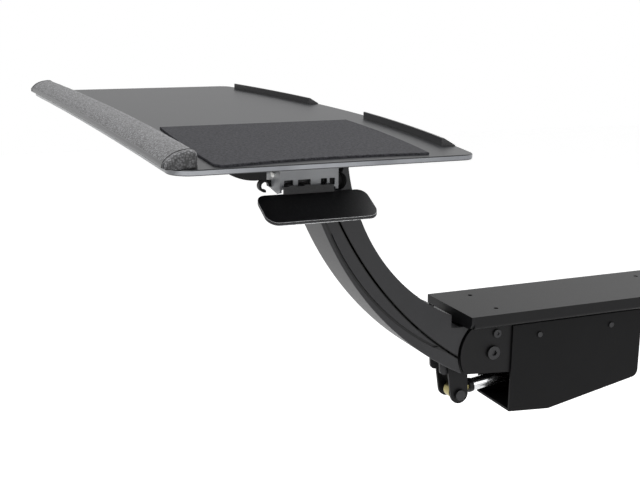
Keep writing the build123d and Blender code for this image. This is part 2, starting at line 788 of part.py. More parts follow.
# Front shell: the cast outer side of the arm, with two inner webs that carry both pivots
with BuildPart() as arm_casting:
    extrude_across(full_side, 0, arm_half)
    fillet(
        arm_casting.edges().filter_by(GeomType.CIRCLE)
        .filter_by(lambda edge: abs(edge.radius - arm_outer_radius) < same_size)
        .filter_by(lambda edge: abs(abs(edge.center().X) - arm_half) < same_size),
        arm_edge_round,
    )
    hollow_half = arm_half - arm_wall
    extrude_across(skin_hollow, 0, hollow_half, Mode.SUBTRACT)
    with BuildSketch(Plane.YZ.offset(-hollow_half)):
        with Locations(pivot_place):
            Circle(skin_start_low)
        with Locations(head_place):
            Circle(skin_start_top)
    extrude(amount=2 * hollow_half, mode=Mode.SUBTRACT)
    with BuildSketch(Plane.YZ.offset(-arm_half - overrun)):
        with Locations(seam_centre):
            Circle(arm_seam_radius + seam_gap / 2)
    extrude(amount=arm_width + 2 * overrun, mode=Mode.SUBTRACT)
    # webs between the outer skin and the middle of the arm, joined to a lobe at each pivot
    web_outer = arm_outer_radius - arm_wall / 2
    web_inner = arm_inner_radius + web_inset
    web_corners = (
        nearer_crossing(pivot_place, skin_start_low, outer_centre, web_outer),
        nearer_crossing(pivot_place, skin_start_low, inner_centre, web_inner),
        nearer_crossing(head_place, web_top_radius, inner_centre, web_inner),
        nearer_crossing(head_place, web_top_radius, outer_centre, web_outer),
    )
    with BuildSketch(Plane.YZ, mode=Mode.PRIVATE) as web:
        with BuildLine():
            Line(web_corners[0], web_corners[1])
            ThreePointArc(
                web_corners[1],
                arc_through(inner_centre, web_inner, web_corners[1], web_corners[2]),
                web_corners[2],
            )
            Line(web_corners[2], web_corners[3])
            ThreePointArc(
                web_corners[3],
                arc_through(outer_centre, web_outer, web_corners[3], web_corners[0]),
                web_corners[0],
            )
        make_face()
    web_region = web.sketch
    lower_lobe = hull_sketch((
        (pivot_place, lower_lobe_radius),
        (ring_place(pivot_place, skin_start_low, web_low_angle), web_low_radius),
        (ring_place(pivot_place, skin_start_low, web_low_angle + web_low_spread), web_low_radius),
    ))
    upper_lobe = hull_sketch((
        (head_place, upper_lobe_radius),
        (ring_place(head_place, web_top_radius, -web_top_angle), web_low_radius),
        (ring_place(head_place, web_top_radius, -web_top_angle - web_top_spread), web_low_radius),
    ))
    for shape in (web_region, lower_lobe, upper_lobe):
        extrude_across(shape, arm_plate_inner, arm_plate_outer)
    # posts for the cover's screws
    for angle in cover_screw_angles:
        post_place = ring_place(inner_centre, arm_inner_radius + arm_cover_wall + post_gap, angle)
        post_plane = Plane(
            origin=(0, post_place[0], post_place[1]), x_dir=(1, 0, 0),
            z_dir=(0, cos(radians(angle)), sin(radians(angle))),
        )
        to_outer = (outer_centre[0] - post_place[0], outer_centre[1] - post_place[1])
        along_post = to_outer[0] * cos(radians(angle)) + to_outer[1] * sin(radians(angle))
        post_reach = along_post + sqrt(
            (arm_outer_radius - arm_wall / 2) ** 2 - to_outer[0] ** 2 - to_outer[1] ** 2 + along_post**2
        )
        with BuildSketch(post_plane):
            with Locations((-post_x, 0), (post_x, 0)):
                Circle(post_radius)
        extrude(amount=post_reach)
    with BuildSketch(Plane.YZ.offset(-arm_half)):
        with Locations(pivot_place):
            Circle(bush_outer)
        with Locations(head_place):
            Circle(main_shaft_radius + running_gap)
    extrude(amount=arm_width, mode=Mode.SUBTRACT)
    # shadow groove along both sides
    with BuildSketch(Plane.YZ.offset(arm_half - groove_depth), mode=Mode.PRIVATE) as groove:
        with Locations(groove_centre):
            Circle(groove_radius + groove_width / 2)
            Circle(groove_radius - groove_width / 2, mode=Mode.SUBTRACT)
        with Locations((pivot_y - groove_reach / 2, pivot_z + groove_reach / 2 + groove_low_z)):
            Rectangle(groove_reach, groove_reach, mode=Mode.INTERSECT)
    extrude(groove.sketch, amount=groove_depth + overrun, dir=(1, 0, 0), mode=Mode.SUBTRACT)
    extrude(groove.sketch.moved(Location((-2 * (arm_half - groove_depth), 0, 0))),
            amount=groove_depth + overrun, dir=(-1, 0, 0), mode=Mode.SUBTRACT)
pieces["arm_casting"] = arm_casting

# Rear shell: the thin cover on the arm's inner side, with a slot for the link's upper end
with BuildPart() as arm_rear_cover:
    extrude_across(full_side, 0, arm_half)
    cover_half = arm_half - arm_cover_wall
    extrude_across(skin_hollow, 0, cover_half, Mode.SUBTRACT)
    with BuildSketch(Plane.YZ.offset(-cover_half)):
        with Locations(pivot_place):
            Circle(skin_start_low)
        with Locations(head_place):
            Circle(skin_start_top)
    extrude(amount=2 * cover_half, mode=Mode.SUBTRACT)
    with BuildSketch(Plane.YZ.offset(-arm_half - overrun)):
        with Locations(seam_centre):
            Circle(arm_seam_radius - seam_gap / 2)
    extrude(amount=arm_width + 2 * overrun, mode=Mode.INTERSECT)
    with BuildSketch(Plane.YZ.offset(-link_slot_width / 2)):
        with Locations(head_place):
            Circle(link_slot_reach)
    extrude(amount=link_slot_width, mode=Mode.SUBTRACT)
    for angle in cover_screw_angles:
        screw_place = ring_place(inner_centre, arm_inner_radius - overrun, angle)
        screw_plane = Plane(
            origin=(0, screw_place[0], screw_place[1]), x_dir=(1, 0, 0),
            z_dir=(0, cos(radians(angle)), sin(radians(angle))),
        )
        with BuildSketch(screw_plane):
            with Locations((-post_x, 0), (post_x, 0)):
                Circle(screw_radius + running_gap)
        extrude(amount=arm_cover_wall + 2 * overrun, mode=Mode.SUBTRACT)
pieces["arm_rear_cover"] = arm_rear_cover

with BuildPart() as arm_screws:
    for angle in cover_screw_angles:
        head_spot = ring_place(inner_centre, arm_inner_radius - screw_head_height - post_gap, angle)
        head_plane = Plane(
            origin=(0, head_spot[0], head_spot[1]), x_dir=(1, 0, 0),
            z_dir=(0, cos(radians(angle)), sin(radians(angle))),
        )
        with BuildSketch(head_plane):
            with Locations((-post_x, 0), (post_x, 0)):
                Circle(screw_head_radius)
        extrude(amount=screw_head_height)
        with BuildSketch(head_plane):
            with Locations((-post_x, 0), (post_x, 0)):
                Circle(screw_radius)
        extrude(amount=screw_head_height + arm_cover_wall + 2 * post_gap)
pieces["arm_screws"] = arm_screws


def across_both(shape, inner_x, outer_x, holes):
    """A pair of flat plates with bores, one on each side of the middle plane."""
    with BuildPart() as plates:
        extrude_across(shape, inner_x, outer_x)
        for place, radius in holes:
            with BuildSketch(Plane.YZ.offset(-outer_x)):
                with Locations(place):
                    Circle(radius)
            extrude(amount=2 * outer_x, mode=Mode.SUBTRACT)
    return plates


def pin_across(place, radius, half_length):
    """A plain pin across the middle plane."""
    with BuildPart() as pin:
        with BuildSketch(Plane.YZ.offset(-half_length)):
            with Locations(place):
                Circle(radius)
        extrude(amount=2 * half_length)
        chamfer(pin.edges().filter_by(GeomType.CIRCLE), radius / 8)
    return pin


with BuildPart() as pivot_bushes:
    for side in (-1, 1):
        with BuildSketch(Plane.YZ.offset(side * arm_plate_inner)):
            with Locations(pivot_place):
                Circle(bush_outer)
                Circle(main_shaft_radius + running_gap, mode=Mode.SUBTRACT)
        extrude(amount=side * (torque_plate_outer - arm_plate_inner))
pieces["pivot_bushes"] = pivot_bushes

torque_knee = (by_pivot(torque_knee_y, torque_knee_z), torque_knee_radius)
torque_shape = hull_sketch(((pivot_place, lower_lobe_radius), torque_knee)) + hull_sketch(
    (torque_knee, (torque_place, torque_lobe_radius))
)
pieces["torque_plates"] = across_both(
    torque_shape, arm_plate_outer, torque_plate_outer,
    ((pivot_place, bush_outer), (torque_place, torque_bolt_radius + running_gap)),
)

with BuildPart() as torque_bolt:
    with BuildSketch(Plane.YZ.offset(-torque_plate_outer - torque_head_height - overrun)):
        with Locations(torque_place):
            Circle(torque_bolt_radius)
    extrude(amount=2 * torque_plate_outer + torque_head_height + overrun)
    with BuildSketch(Plane.YZ.offset(torque_plate_outer)):
        with Locations(torque_place):
            Circle(torque_head_radius)
    extrude(amount=torque_head_height)
    fillet(torque_bolt.faces().sort_by(Axis.X)[-1].edges(), torque_head_height / 4)
pieces["torque_bolt"] = torque_bolt

with BuildPart() as torque_nut:
    with BuildSketch(Plane.YZ.offset(-torque_plate_outer - torque_head_height)):
        with Locations(torque_place):
            RegularPolygon(torque_nut_across / 2, 6, major_radius=False)
            Circle(torque_bolt_radius + running_gap, mode=Mode.SUBTRACT)
    extrude(amount=torque_head_height)
pieces["torque_nut"] = torque_nut

# Upper pivot: two stub bolts with round black caps, fixed in the arm's webs
pieces["head_pivot_bolts"] = stub_bolts(
    head_place, stub_inner_x, housing_half, cap_cover_radius, cap_cover_height, False
)
pieces["head_pivot_nuts"] = stub_nuts(head_place)

# Parallel link: a bowed bar that keeps the tray level
link_low = by_pivot(link_offset_y, link_offset_z)
link_high = by_head(link_offset_y, link_offset_z)
link_chord = hypot(link_high[0] - link_low[0], link_high[1] - link_low[1])
link_radius = ((link_chord / 2) ** 2 + link_bow**2) / (2 * link_bow)
link_centre = arc_centre(link_low, link_high, link_radius, -1)
link_middle = arc_through(link_centre, link_radius, link_low, link_high)
with BuildPart() as parallel_link:
    with BuildSketch(Plane.YZ.offset(-link_thickness / 2)):
        with BuildLine():
            bar_line = ThreePointArc(link_low, link_middle, link_high)
        SlotArc(arc=bar_line, height=link_bar_width)
        for place in (link_low, link_high):
            with Locations(place):
                Circle(link_eye_radius)
        for place in (link_low, link_high):
            with Locations(place):
                Circle(link_pin_radius + running_gap, mode=Mode.SUBTRACT)
    extrude(amount=link_thickness)
pieces["parallel_link"] = parallel_link

# Level lever: two plates on the upper pivot that the link holds upright
pieces["level_plates"] = across_both(
    hull_sketch(((head_place, level_eye_radius), (link_high, level_tip_radius))),
    level_inner, level_outer,
    ((head_place, main_shaft_radius + running_gap), (link_high, link_pin_radius)),
)
pieces["link_upper_pin"] = pin_across(link_high, link_pin_radius, level_outer)
with BuildPart() as clutch_discs:
    for side in (-1, 1):
        with BuildSketch(Plane.YZ.offset(side * level_outer)):
            with Locations(head_place):
                Circle(clutch_radius)
                Circle(main_shaft_radius + running_gap, mode=Mode.SUBTRACT)
        extrude(amount=side * (housing_half - housing_wall - plate_gap / 4 - level_outer))
pieces["clutch_discs"] = clutch_discs

# Gas spring on its own axis
spring_plane = Plane(
    origin=(0, torque_place[0], torque_place[1]), x_dir=(1, 0, 0), z_dir=(0, spring_cos, spring_sin)
)


def spring_round(start, length, radius, bore=0.0):
    """A round piece of the gas spring, from its distance to the front pin."""
    with BuildSketch(spring_plane.offset(start), mode=Mode.PRIVATE) as section:
        Circle(radius)
        if bore:
            Circle(bore, mode=Mode.SUBTRACT)
    extrude(section.sketch, amount=length)


with BuildPart() as cylinder_end_fitting:
    with BuildSketch(Plane.YZ.offset(-fitting_half_width)):
        with Locations(torque_place):
            Circle(fitting_radius)
    extrude(amount=2 * fitting_half_width)
    spring_round(0, cap_start, fitting_stem_radius)
    with BuildSketch(Plane.YZ.offset(-fitting_half_width)):
        with Locations(torque_place):
            Circle(torque_bolt_radius + running_gap)
    extrude(amount=2 * fitting_half_width, mode=Mode.SUBTRACT)
pieces["cylinder_end_fitting"] = cylinder_end_fitting

tube_start = cap_start + cap_length
with BuildPart() as cylinder_cap:
    spring_round(cap_start, cap_length, cap_radius)
    fillet(cylinder_cap.edges().filter_by(GeomType.CIRCLE), cap_length / 6)
pieces["cylinder_cap"] = cylinder_cap
with BuildPart() as gas_tube:
    spring_round(tube_start, tube_length, tube_radius, tube_radius - tube_wall)
    spring_round(tube_start, tube_end, tube_radius)
    spring_round(tube_start + tube_length - tube_end, tube_end, tube_radius, rod_radius + running_gap)
pieces["gas_tube"] = gas_tube

piston_start = tube_start + tube_length - tube_end - piston_length - overrun
with BuildPart() as gas_rod:
    spring_round(piston_start, spring_length - piston_start - fitting_radius, rod_radius)
    spring_round(piston_start, piston_length, piston_radius)
pieces["gas_rod"] = gas_rod
with BuildPart() as rod_end_fitting:
    with BuildSketch(Plane.YZ.offset(-fitting_half_width)):
        with Locations(anchor_place):
            Circle(fitting_radius)
            Circle(anchor_pin_radius, mode=Mode.SUBTRACT)
    extrude(amount=2 * fitting_half_width)
    spring_round(spring_length - fitting_radius - overrun, fitting_radius, rod_radius)
    with BuildSketch(Plane.YZ.offset(-fitting_half_width)):
        with Locations(anchor_place):
            Circle(anchor_pin_radius)
    extrude(amount=2 * fitting_half_width, mode=Mode.SUBTRACT)
    spring_round(spring_length - fitting_radius - 2 * overrun, 2 * overrun, rod_radius)
    add(gas_rod.part, mode=Mode.SUBTRACT)
pieces["rod_end_fitting"] = rod_end_fitting
pieces["anchor_pin"] = pin_across(anchor_place, anchor_pin_radius, bracket_half)

# Head housing: a boat-shaped pan in front with two cheeks that reach back to the pivot
cheek_inner = housing_half - housing_wall


def housing_region(inset):
    """The housing's side view, its front and bottom moved inward."""
    top = housing_top + (overrun if inset else 0)
    with BuildSketch(Plane.YZ, mode=Mode.PRIVATE) as region:
        with BuildLine():
            front = (head_y + housing_front_y + inset, top)
            tip = (head_y + housing_front_y + inset, head_z + housing_tip_z + inset)
            belly = (head_y + housing_belly_front_y + inset, head_z + housing_belly_z + inset)
            Line(front, tip)
            ThreePointArc(
                tip,
                ((tip[0] + belly[0]) / 2 - housing_bulge, (tip[1] + belly[1]) / 2 - housing_bulge),
                belly,
            )
            lobe_front = by_head(-housing_lobe_radius, 0)
            tail_low = by_head(housing_tail_y, housing_tail_z)
            Polyline(
                belly,
                (head_y + housing_belly_rear_y, belly[1]),
                by_head(housing_belly_rear_y, housing_arch_z),
                by_head(housing_arch_rear_y, housing_arch_z),
                lobe_front,
            )
            ThreePointArc(lobe_front, by_head(0, -housing_lobe_radius), by_head(housing_lobe_radius, 0))
            Polyline(
                by_head(housing_lobe_radius, 0),
                tail_low,
                by_head(housing_rear_y, housing_tip_z),
                (head_y + housing_rear_y, top),
                front,
            )
        make_face()
    return region.sketch


with BuildPart() as head_housing:
    extrude_across(housing_region(0), 0, housing_half)
    extrude_across(housing_region(housing_wall), 0, cheek_inner, Mode.SUBTRACT)
    with BuildSketch(Plane.YZ.offset(-cheek_inner)):
        with BuildLine():
            Polyline(
                by_head(housing_belly_rear_y, -housing_width),
                by_head(housing_width, -housing_width),
                (head_y + housing_width, housing_top + overrun),
                (head_y + housing_belly_rear_y, housing_top + overrun),
                close=True,
            )
        make_face()
    extrude(amount=2 * cheek_inner, mode=Mode.SUBTRACT)
    # the left cheek is closed where the right one is arched for the lever
    with BuildSketch(Plane.YZ.offset(-housing_half)):
        with BuildLine():
            Polyline(
                by_head(housing_belly_rear_y, housing_belly_z),
                by_head(housing_belly_rear_y, housing_arch_z),
                by_head(housing_arch_rear_y, housing_arch_z),
                by_head(-housing_lobe_radius, 0),
                close=True,
            )
        make_face()
    extrude(amount=housing_wall)
    with BuildSketch(Plane.YZ.offset(-housing_half)):
        with Locations(head_place):
            Circle(main_shaft_radius + running_gap)
    extrude(amount=housing_width, mode=Mode.SUBTRACT)
pieces["head_housing"] = head_housing

# Mount plate under the tray and the screws that hold the tray
plate_rear_y = head_y + housing_rear_y + mount_plate_margin
plate_front_y = head_y + housing_front_y - mount_plate_margin
plate_middle_y = (plate_rear_y + plate_front_y) / 2
with BuildPart() as mount_plate:
    with BuildSketch(Plane.XY.offset(housing_top)):
        with Locations((0, plate_middle_y)):
            RectangleRounded(mount_plate_width, plate_rear_y - plate_front_y, mount_plate_corner)
            with GridLocations(mount_screw_pitch_x, mount_screw_pitch_y, 2, 2):
                Circle(mount_screw_radius + running_gap, mode=Mode.SUBTRACT)
    extrude(amount=mount_plate_gauge)
pieces["mount_plate"] = mount_plate

with BuildPart() as mount_screws:
    with BuildSketch(Plane.XY.offset(housing_top - mount_screw_head_height)):
        with Locations((0, plate_middle_y)):
            with GridLocations(mount_screw_pitch_x, mount_screw_pitch_y, 2, 2):
                Circle(mount_screw_head)
    extrude(amount=mount_screw_head_height)
    fillet(mount_screws.faces().filter_by(Axis.Z).group_by(Axis.Z)[0].edges(), mount_screw_head_height / 3)
    with BuildSketch(Plane.XY.offset(housing_top)):
        with Locations((0, plate_middle_y)):
            with GridLocations(mount_screw_pitch_x, mount_screw_pitch_y, 2, 2):
                Circle(mount_screw_radius)
    extrude(amount=mount_plate_gauge + mount_screw_bite)
pieces["mount_screws"] = mount_screws

# Lever bracket: a folded plate beside the housing with windows, a front ear and a rear ear
bracket_plate_inner = lever_bracket_x - ear_gauge
with BuildPart() as lever_bracket:
    with BuildSketch(Plane.YZ.offset(bracket_plate_inner)):
        with BuildLine():
            Polyline(
                by_head(lever_bracket_front_y, ear_low_z + tab_width),
                by_head(lever_bracket_front_y + tab_width, lever_bracket_low_z),
                by_head(lever_bracket_rear_y - tab_width, lever_bracket_low_z),
                by_head(lever_bracket_rear_y - tab_width, tab_low_z),
                by_head(lever_bracket_rear_y, tab_low_z),
                (head_y + lever_bracket_rear_y, housing_top),
                (head_y + lever_bracket_front_y, housing_top),
                close=True,
            )
        make_face()
        for start, end in window_spans:
            with Locations(by_head((start + end) / 2, (window_low_z + window_high_z) / 2)):
                RectangleRounded(
                    end - start, window_high_z - window_low_z, window_corner, mode=Mode.SUBTRACT
                )
    extrude(amount=ear_gauge)
    with BuildSketch(Plane.XZ.offset(-(head_y + lever_bracket_front_y + ear_gauge))):
        with BuildLine():
            Polyline(
                (ear_left_x, head_z + ear_high_z),
                (ear_left_x + tab_width, head_z + ear_left_z),
                (lever_bracket_x - ear_left_drop, head_z + ear_low_z),
                (lever_bracket_x, head_z + ear_low_z + ear_gauge),
                (lever_bracket_x, head_z + ear_high_z),
                close=True,
            )
        make_face()
        with Locations((lever_rod_x, head_z + lever_rod_z)):
            Circle(lever_rod_radius + running_gap, mode=Mode.SUBTRACT)
    extrude(amount=ear_gauge)
    with BuildSketch(Plane.XZ.offset(-(head_y + rear_ear_y))):
        with BuildLine():
            Polyline(
                (rear_ear_left_x, head_z + rear_ear_low_z),
                (lever_bracket_x, head_z + rear_ear_low_z),
                (lever_bracket_x, head_z + ear_high_z),
                (rear_ear_left_x, head_z + ear_high_z),
                close=True,
            )
        make_face()
        with Locations((lever_rod_x, head_z + lever_rod_z)):
            Circle(lever_rod_radius + running_gap, mode=Mode.SUBTRACT)
    extrude(amount=ear_gauge)
pieces["lever_bracket"] = lever_bracket

rod_plane = Plane.XZ.offset(-(head_y + lever_bracket_front_y))
rod_length = rear_ear_y - lever_bracket_front_y
with BuildPart() as lever_rod:
    with BuildSketch(rod_plane):
        with Locations((lever_rod_x, head_z + lever_rod_z)):
            Circle(lever_rod_radius)
    extrude(amount=-rod_length)
    with BuildSketch(rod_plane):
        with Locations((lever_rod_x, head_z + lever_rod_z)):
            Circle(rivet_radius)
    extrude(amount=rivet_height)
    fillet(lever_rod.faces().sort_by(Axis.Y)[0].edges(), rivet_height / 2)
pieces["lever_rod"] = lever_rod

# Release lever: knuckles on the rod, tabs through the bracket's windows and a sloping paddle
tab_z = head_z + window_low_z + tab_rise
with BuildPart() as release_lever:
    for start, end in window_spans[:2]:
        middle = head_y + (start + end) / 2
        with BuildSketch(Plane.XZ.offset(-(middle + knuckle_width / 2))):
            with Locations((lever_rod_x, head_z + lever_rod_z)):
                Circle(knuckle_radius)
            with BuildLine():
                Polyline(
                    (lever_rod_x - knuckle_foot, head_z + lever_rod_z),
                    (lever_rod_x - knuckle_foot, tab_z),
                    (paddle_inner_x, tab_z),
                    (paddle_inner_x, tab_z + tab_thickness),
                    (lever_rod_x + knuckle_foot, tab_z + tab_thickness),
                    (lever_rod_x + knuckle_foot, head_z + lever_rod_z),
                    close=True,
                )
            make_face()
        extrude(amount=knuckle_width)
    with BuildSketch(Plane.XZ.offset(-(head_y + neck_rear_y))):
        with BuildLine():
            Polyline(
                (paddle_inner_x - neck_gauge, tab_z + tab_thickness / 2),
                (paddle_inner_x, tab_z + tab_thickness / 2),
                (paddle_inner_x, head_z + paddle_inner_z),
                (paddle_inner_x - neck_gauge, head_z + paddle_inner_z - paddle_thickness / 2),
                close=True,
            )
        make_face()
    extrude(amount=neck_rear_y - neck_front_y)
    with BuildSketch(Plane.XZ.offset(-(head_y + paddle_rear_y))):
        with BuildLine():
            Polyline(
                (paddle_inner_x - neck_gauge, head_z + paddle_inner_z),
                (paddle_outer_x, head_z + paddle_outer_z),
                (paddle_outer_x, head_z + paddle_outer_z - paddle_thickness),
                (paddle_inner_x - neck_gauge, head_z + paddle_inner_z - paddle_thickness),
                close=True,
            )
        make_face()
    paddle_span = paddle_rear_y - paddle_front_y
    extrude(amount=paddle_span)
    with BuildSketch(Plane.XY.offset(head_z - tray_width)) as paddle_plan:
        paddle_middle_y = head_y + (paddle_rear_y + paddle_front_y) / 2
        with Locations((paddle_outer_x / 2 - knuckle_radius, paddle_middle_y)):
            Rectangle(paddle_outer_x + 2 * knuckle_radius, paddle_span)
        fillet(paddle_plan.vertices().group_by(Axis.X)[-1], paddle_corner)
    extrude(amount=2 * tray_width, mode=Mode.INTERSECT)
    # the paddle's inner corners are rounded too
    for end, corner_y in ((-1, paddle_front_y), (1, paddle_rear_y)):
        with BuildSketch(Plane.XY.offset(head_z + paddle_outer_z - 2 * paddle_thickness)):
            with BuildLine():
                corner_x = paddle_inner_x - neck_gauge
                Line((corner_x - overrun, head_y + corner_y - end * paddle_root),
                     (corner_x, head_y + corner_y - end * paddle_root))
                ThreePointArc(
                    (corner_x, head_y + corner_y - end * paddle_root),
                    (corner_x + paddle_root * (1 - cos(radians(half_corner_angle))),
                     head_y + corner_y - end * paddle_root * (1 - sin(radians(half_corner_angle)))),
                    (corner_x + paddle_root, head_y + corner_y),
                )
                Polyline(
                    (corner_x + paddle_root, head_y + corner_y),
                    (corner_x + paddle_root, head_y + corner_y + end * overrun),
                    (corner_x - overrun, head_y + corner_y + end * overrun),
                    (corner_x - overrun, head_y + corner_y - end * paddle_root),
                )
            make_face()
        extrude(amount=paddle_inner_z - paddle_outer_z + 4 * paddle_thickness, mode=Mode.SUBTRACT)
    with BuildSketch(rod_plane.offset(overrun)):
        with Locations((lever_rod_x, head_z + lever_rod_z)):
            Circle(lever_rod_radius + running_gap)
    extrude(amount=-rod_length, mode=Mode.SUBTRACT)
pieces["release_lever"] = release_lever

# Coil spring on the lever rod, between the second knuckle and the rear ear
coil_start = head_y + coil_start_y
with BuildPart() as lever_spring:
    with BuildLine():
        coil = Helix(
            pitch=spring_pitch_length, height=spring_turns * spring_pitch_length, radius=spring_coil_radius,
            center=(lever_rod_x, coil_start, head_z + lever_rod_z), direction=(0, 1, 0),
        )
    with BuildSketch(Plane(origin=coil @ 0, z_dir=coil % 0)):
        Circle(spring_wire_radius)
    sweep(is_frenet=True)
pieces["lever_spring"] = lever_spring

# Cable clip on the front ear, open below
clip_y = head_y + lever_bracket_front_y - clip_radius
with BuildPart() as cable_clip:
    with BuildSketch(Plane.YZ.offset(clip_x - clip_width / 2)):
        with Locations((clip_y, head_z + clip_z)):
            Circle(clip_radius)
            Circle(clip_radius - clip_wall, mode=Mode.SUBTRACT)
        with BuildLine():
            Polyline(
                (clip_y, head_z + clip_z),
                ring_place((clip_y, head_z + clip_z), 2 * clip_radius, clip_mouth_angle - clip_opening_angle / 2),
                ring_place((clip_y, head_z + clip_z), 2 * clip_radius, clip_mouth_angle + clip_opening_angle / 2),
                close=True,
            )
        make_face(mode=Mode.SUBTRACT)
        with Locations((clip_y + clip_radius - clip_wall / 2, head_z + clip_z + clip_wall)):
            Rectangle(clip_wall, 2 * clip_wall)
    extrude(amount=clip_width)
pieces["cable_clip"] = cable_clip

# Tray with a slightly hollow front edge and a bowed rear edge
rear_radius = (tray_half**2 + tray_rear_bow**2) / (2 * tray_rear_bow)
rear_centre = by_tray(0, tray_rear + tray_rear_bow - rear_radius)
rail_radius = rear_radius - stop_edge_gap - stop_depth / 2


def rail_spots(side):
    """The screw places under one rear rail."""
    spots = []
    for step in range(stop_screw_count):
        along = (2 * step + 1) / (2 * stop_screw_count)
        x = side * (stop_inner + (stop_outer - stop_inner) * along)
        spots.append((tray_x + x, rear_centre[1] + sqrt(rail_radius**2 - x**2)))
    return spots


with BuildPart() as tray_board:
    with BuildSketch(Plane.XY.offset(tray_bottom)) as tray_outline:
        with BuildLine():
            ThreePointArc(
                by_tray(-tray_half, -tray_front),
                by_tray(0, -tray_front + tray_front_bow),
                by_tray(tray_half, -tray_front),
            )
            Line(by_tray(tray_half, -tray_front), by_tray(tray_half, tray_rear))
            ThreePointArc(
                by_tray(tray_half, tray_rear),
                by_tray(0, tray_rear + tray_rear_bow),
                by_tray(-tray_half, tray_rear),
            )
            Line(by_tray(-tray_half, tray_rear), by_tray(-tray_half, -tray_front))
        make_face()
        fillet(tray_outline.vertices().group_by(Axis.Y)[0], tray_front_corner)
        fillet(
            tray_outline.vertices().filter_by(lambda corner: corner.Y > tray_y).sort_by(Axis.X)[0],
            tray_rear_corner,
        )
        fillet(
            tray_outline.vertices().filter_by(lambda corner: corner.Y > tray_y).sort_by(Axis.X)[-1],
            tray_rear_corner,
        )
    extrude(amount=tray_thickness)
    chamfer(tray_board.faces().filter_by(Axis.Z).edges(), tray_edge)
    with BuildSketch(Plane.XY.offset(tray_bottom)):
        with Locations((0, plate_middle_y)):
            with GridLocations(mount_screw_pitch_x, mount_screw_pitch_y, 2, 2):
                Circle(mount_screw_radius)
    extrude(amount=mount_screw_bite, mode=Mode.SUBTRACT)
    with BuildSketch(Plane.XY.offset(tray_bottom)):
        with Locations(rail_spots(-1) + rail_spots(1)):
            Circle(screw_radius + running_gap)
    extrude(amount=tray_thickness, mode=Mode.SUBTRACT)
pieces["tray_board"] = tray_board


def stop_rail(side):
    """One wedge-shaped rail along the tray's rear edge, with its high face to the front."""
    outer = rear_radius - stop_edge_gap
    inner = outer - stop_depth
    with BuildPart() as rail:
        with BuildSketch(Plane.YZ):
            with BuildLine():
                Polyline(
                    (rear_centre[1] + inner, tray_top),
                    (rear_centre[1] + outer, tray_top),
                    (rear_centre[1] + outer, tray_top + stop_ridge / 2),
                    (rear_centre[1] + inner + stop_ridge, tray_top + stop_height),
                    (rear_centre[1] + inner, tray_top + stop_height),
                    close=True,
                )
            make_face()
        start = degrees(asin(stop_inner / inner))
        end = degrees(asin(stop_outer / inner))
        revolve(axis=Axis((0, rear_centre[1], 0), (0, 0, 1)), revolution_arc=end - start)
    turned = rail.part.rotate(Axis((0, rear_centre[1], 0), (0, 0, 1)), start if side < 0 else -end)
    with BuildPart() as placed:
        add(turned.moved(Location((tray_x, 0, 0))))
        with BuildSketch(Plane.XY.offset(tray_top)):
            with Locations(rail_spots(side)):
                Circle(screw_radius)
        extrude(amount=screw_bite - stop_ridge, mode=Mode.SUBTRACT)
    return placed


pieces["stop_rail_right"] = stop_rail(1)
pieces["stop_rail_left"] = stop_rail(-1)

with BuildPart() as rail_screws:
    with BuildSketch(Plane.XY.offset(tray_bottom - screw_head_height)):
        with Locations(rail_spots(-1) + rail_spots(1)):
            Circle(screw_head_radius)
    extrude(amount=screw_head_height)
    with BuildSketch(Plane.XY.offset(tray_bottom)):
        with Locations(rail_spots(-1) + rail_spots(1)):
            Circle(screw_radius)
    extrude(amount=tray_thickness + screw_bite - stop_ridge)
pieces["rail_screws"] = rail_screws

# Mouse pad on the tray's right half
pad_rear_radius = rear_radius - pad_rear_gap
with BuildPart() as mouse_pad:
    with BuildSketch(Plane.XY.offset(tray_top)) as pad_outline:
        with BuildLine():
            pad_rear_y = [
                rear_centre[1] - tray_y + sqrt(pad_rear_radius**2 - x**2)
                for x in (pad_left, (pad_left + pad_rear_right) / 2, pad_rear_right)
            ]
            ThreePointArc(
                by_tray(pad_left, pad_rear_y[0]),
                by_tray((pad_left + pad_rear_right) / 2, pad_rear_y[1]),
                by_tray(pad_rear_right, pad_rear_y[2]),
            )
            ThreePointArc(
                by_tray(pad_rear_right, pad_rear_y[2]),
                by_tray(pad_waist, (pad_rear_y[2] - pad_front) / 2 + pad_waist_shift),
                by_tray(pad_right, -pad_front),
            )
            ThreePointArc(
                by_tray(pad_right, -pad_front),
                by_tray((pad_left + pad_right) / 2, -pad_front + pad_front_bow),
                by_tray(pad_left, -pad_front_left),
            )
            Line(by_tray(pad_left, -pad_front_left), by_tray(pad_left, pad_rear_y[0]))
        make_face()
        fillet(pad_outline.vertices().group_by(Axis.Y)[0], pad_corner)
    extrude(amount=pad_thickness)
    fillet(mouse_pad.faces().sort_by(Axis.Z)[-1].edges(), pad_thickness / 4)
pieces["mouse_pad"] = mouse_pad

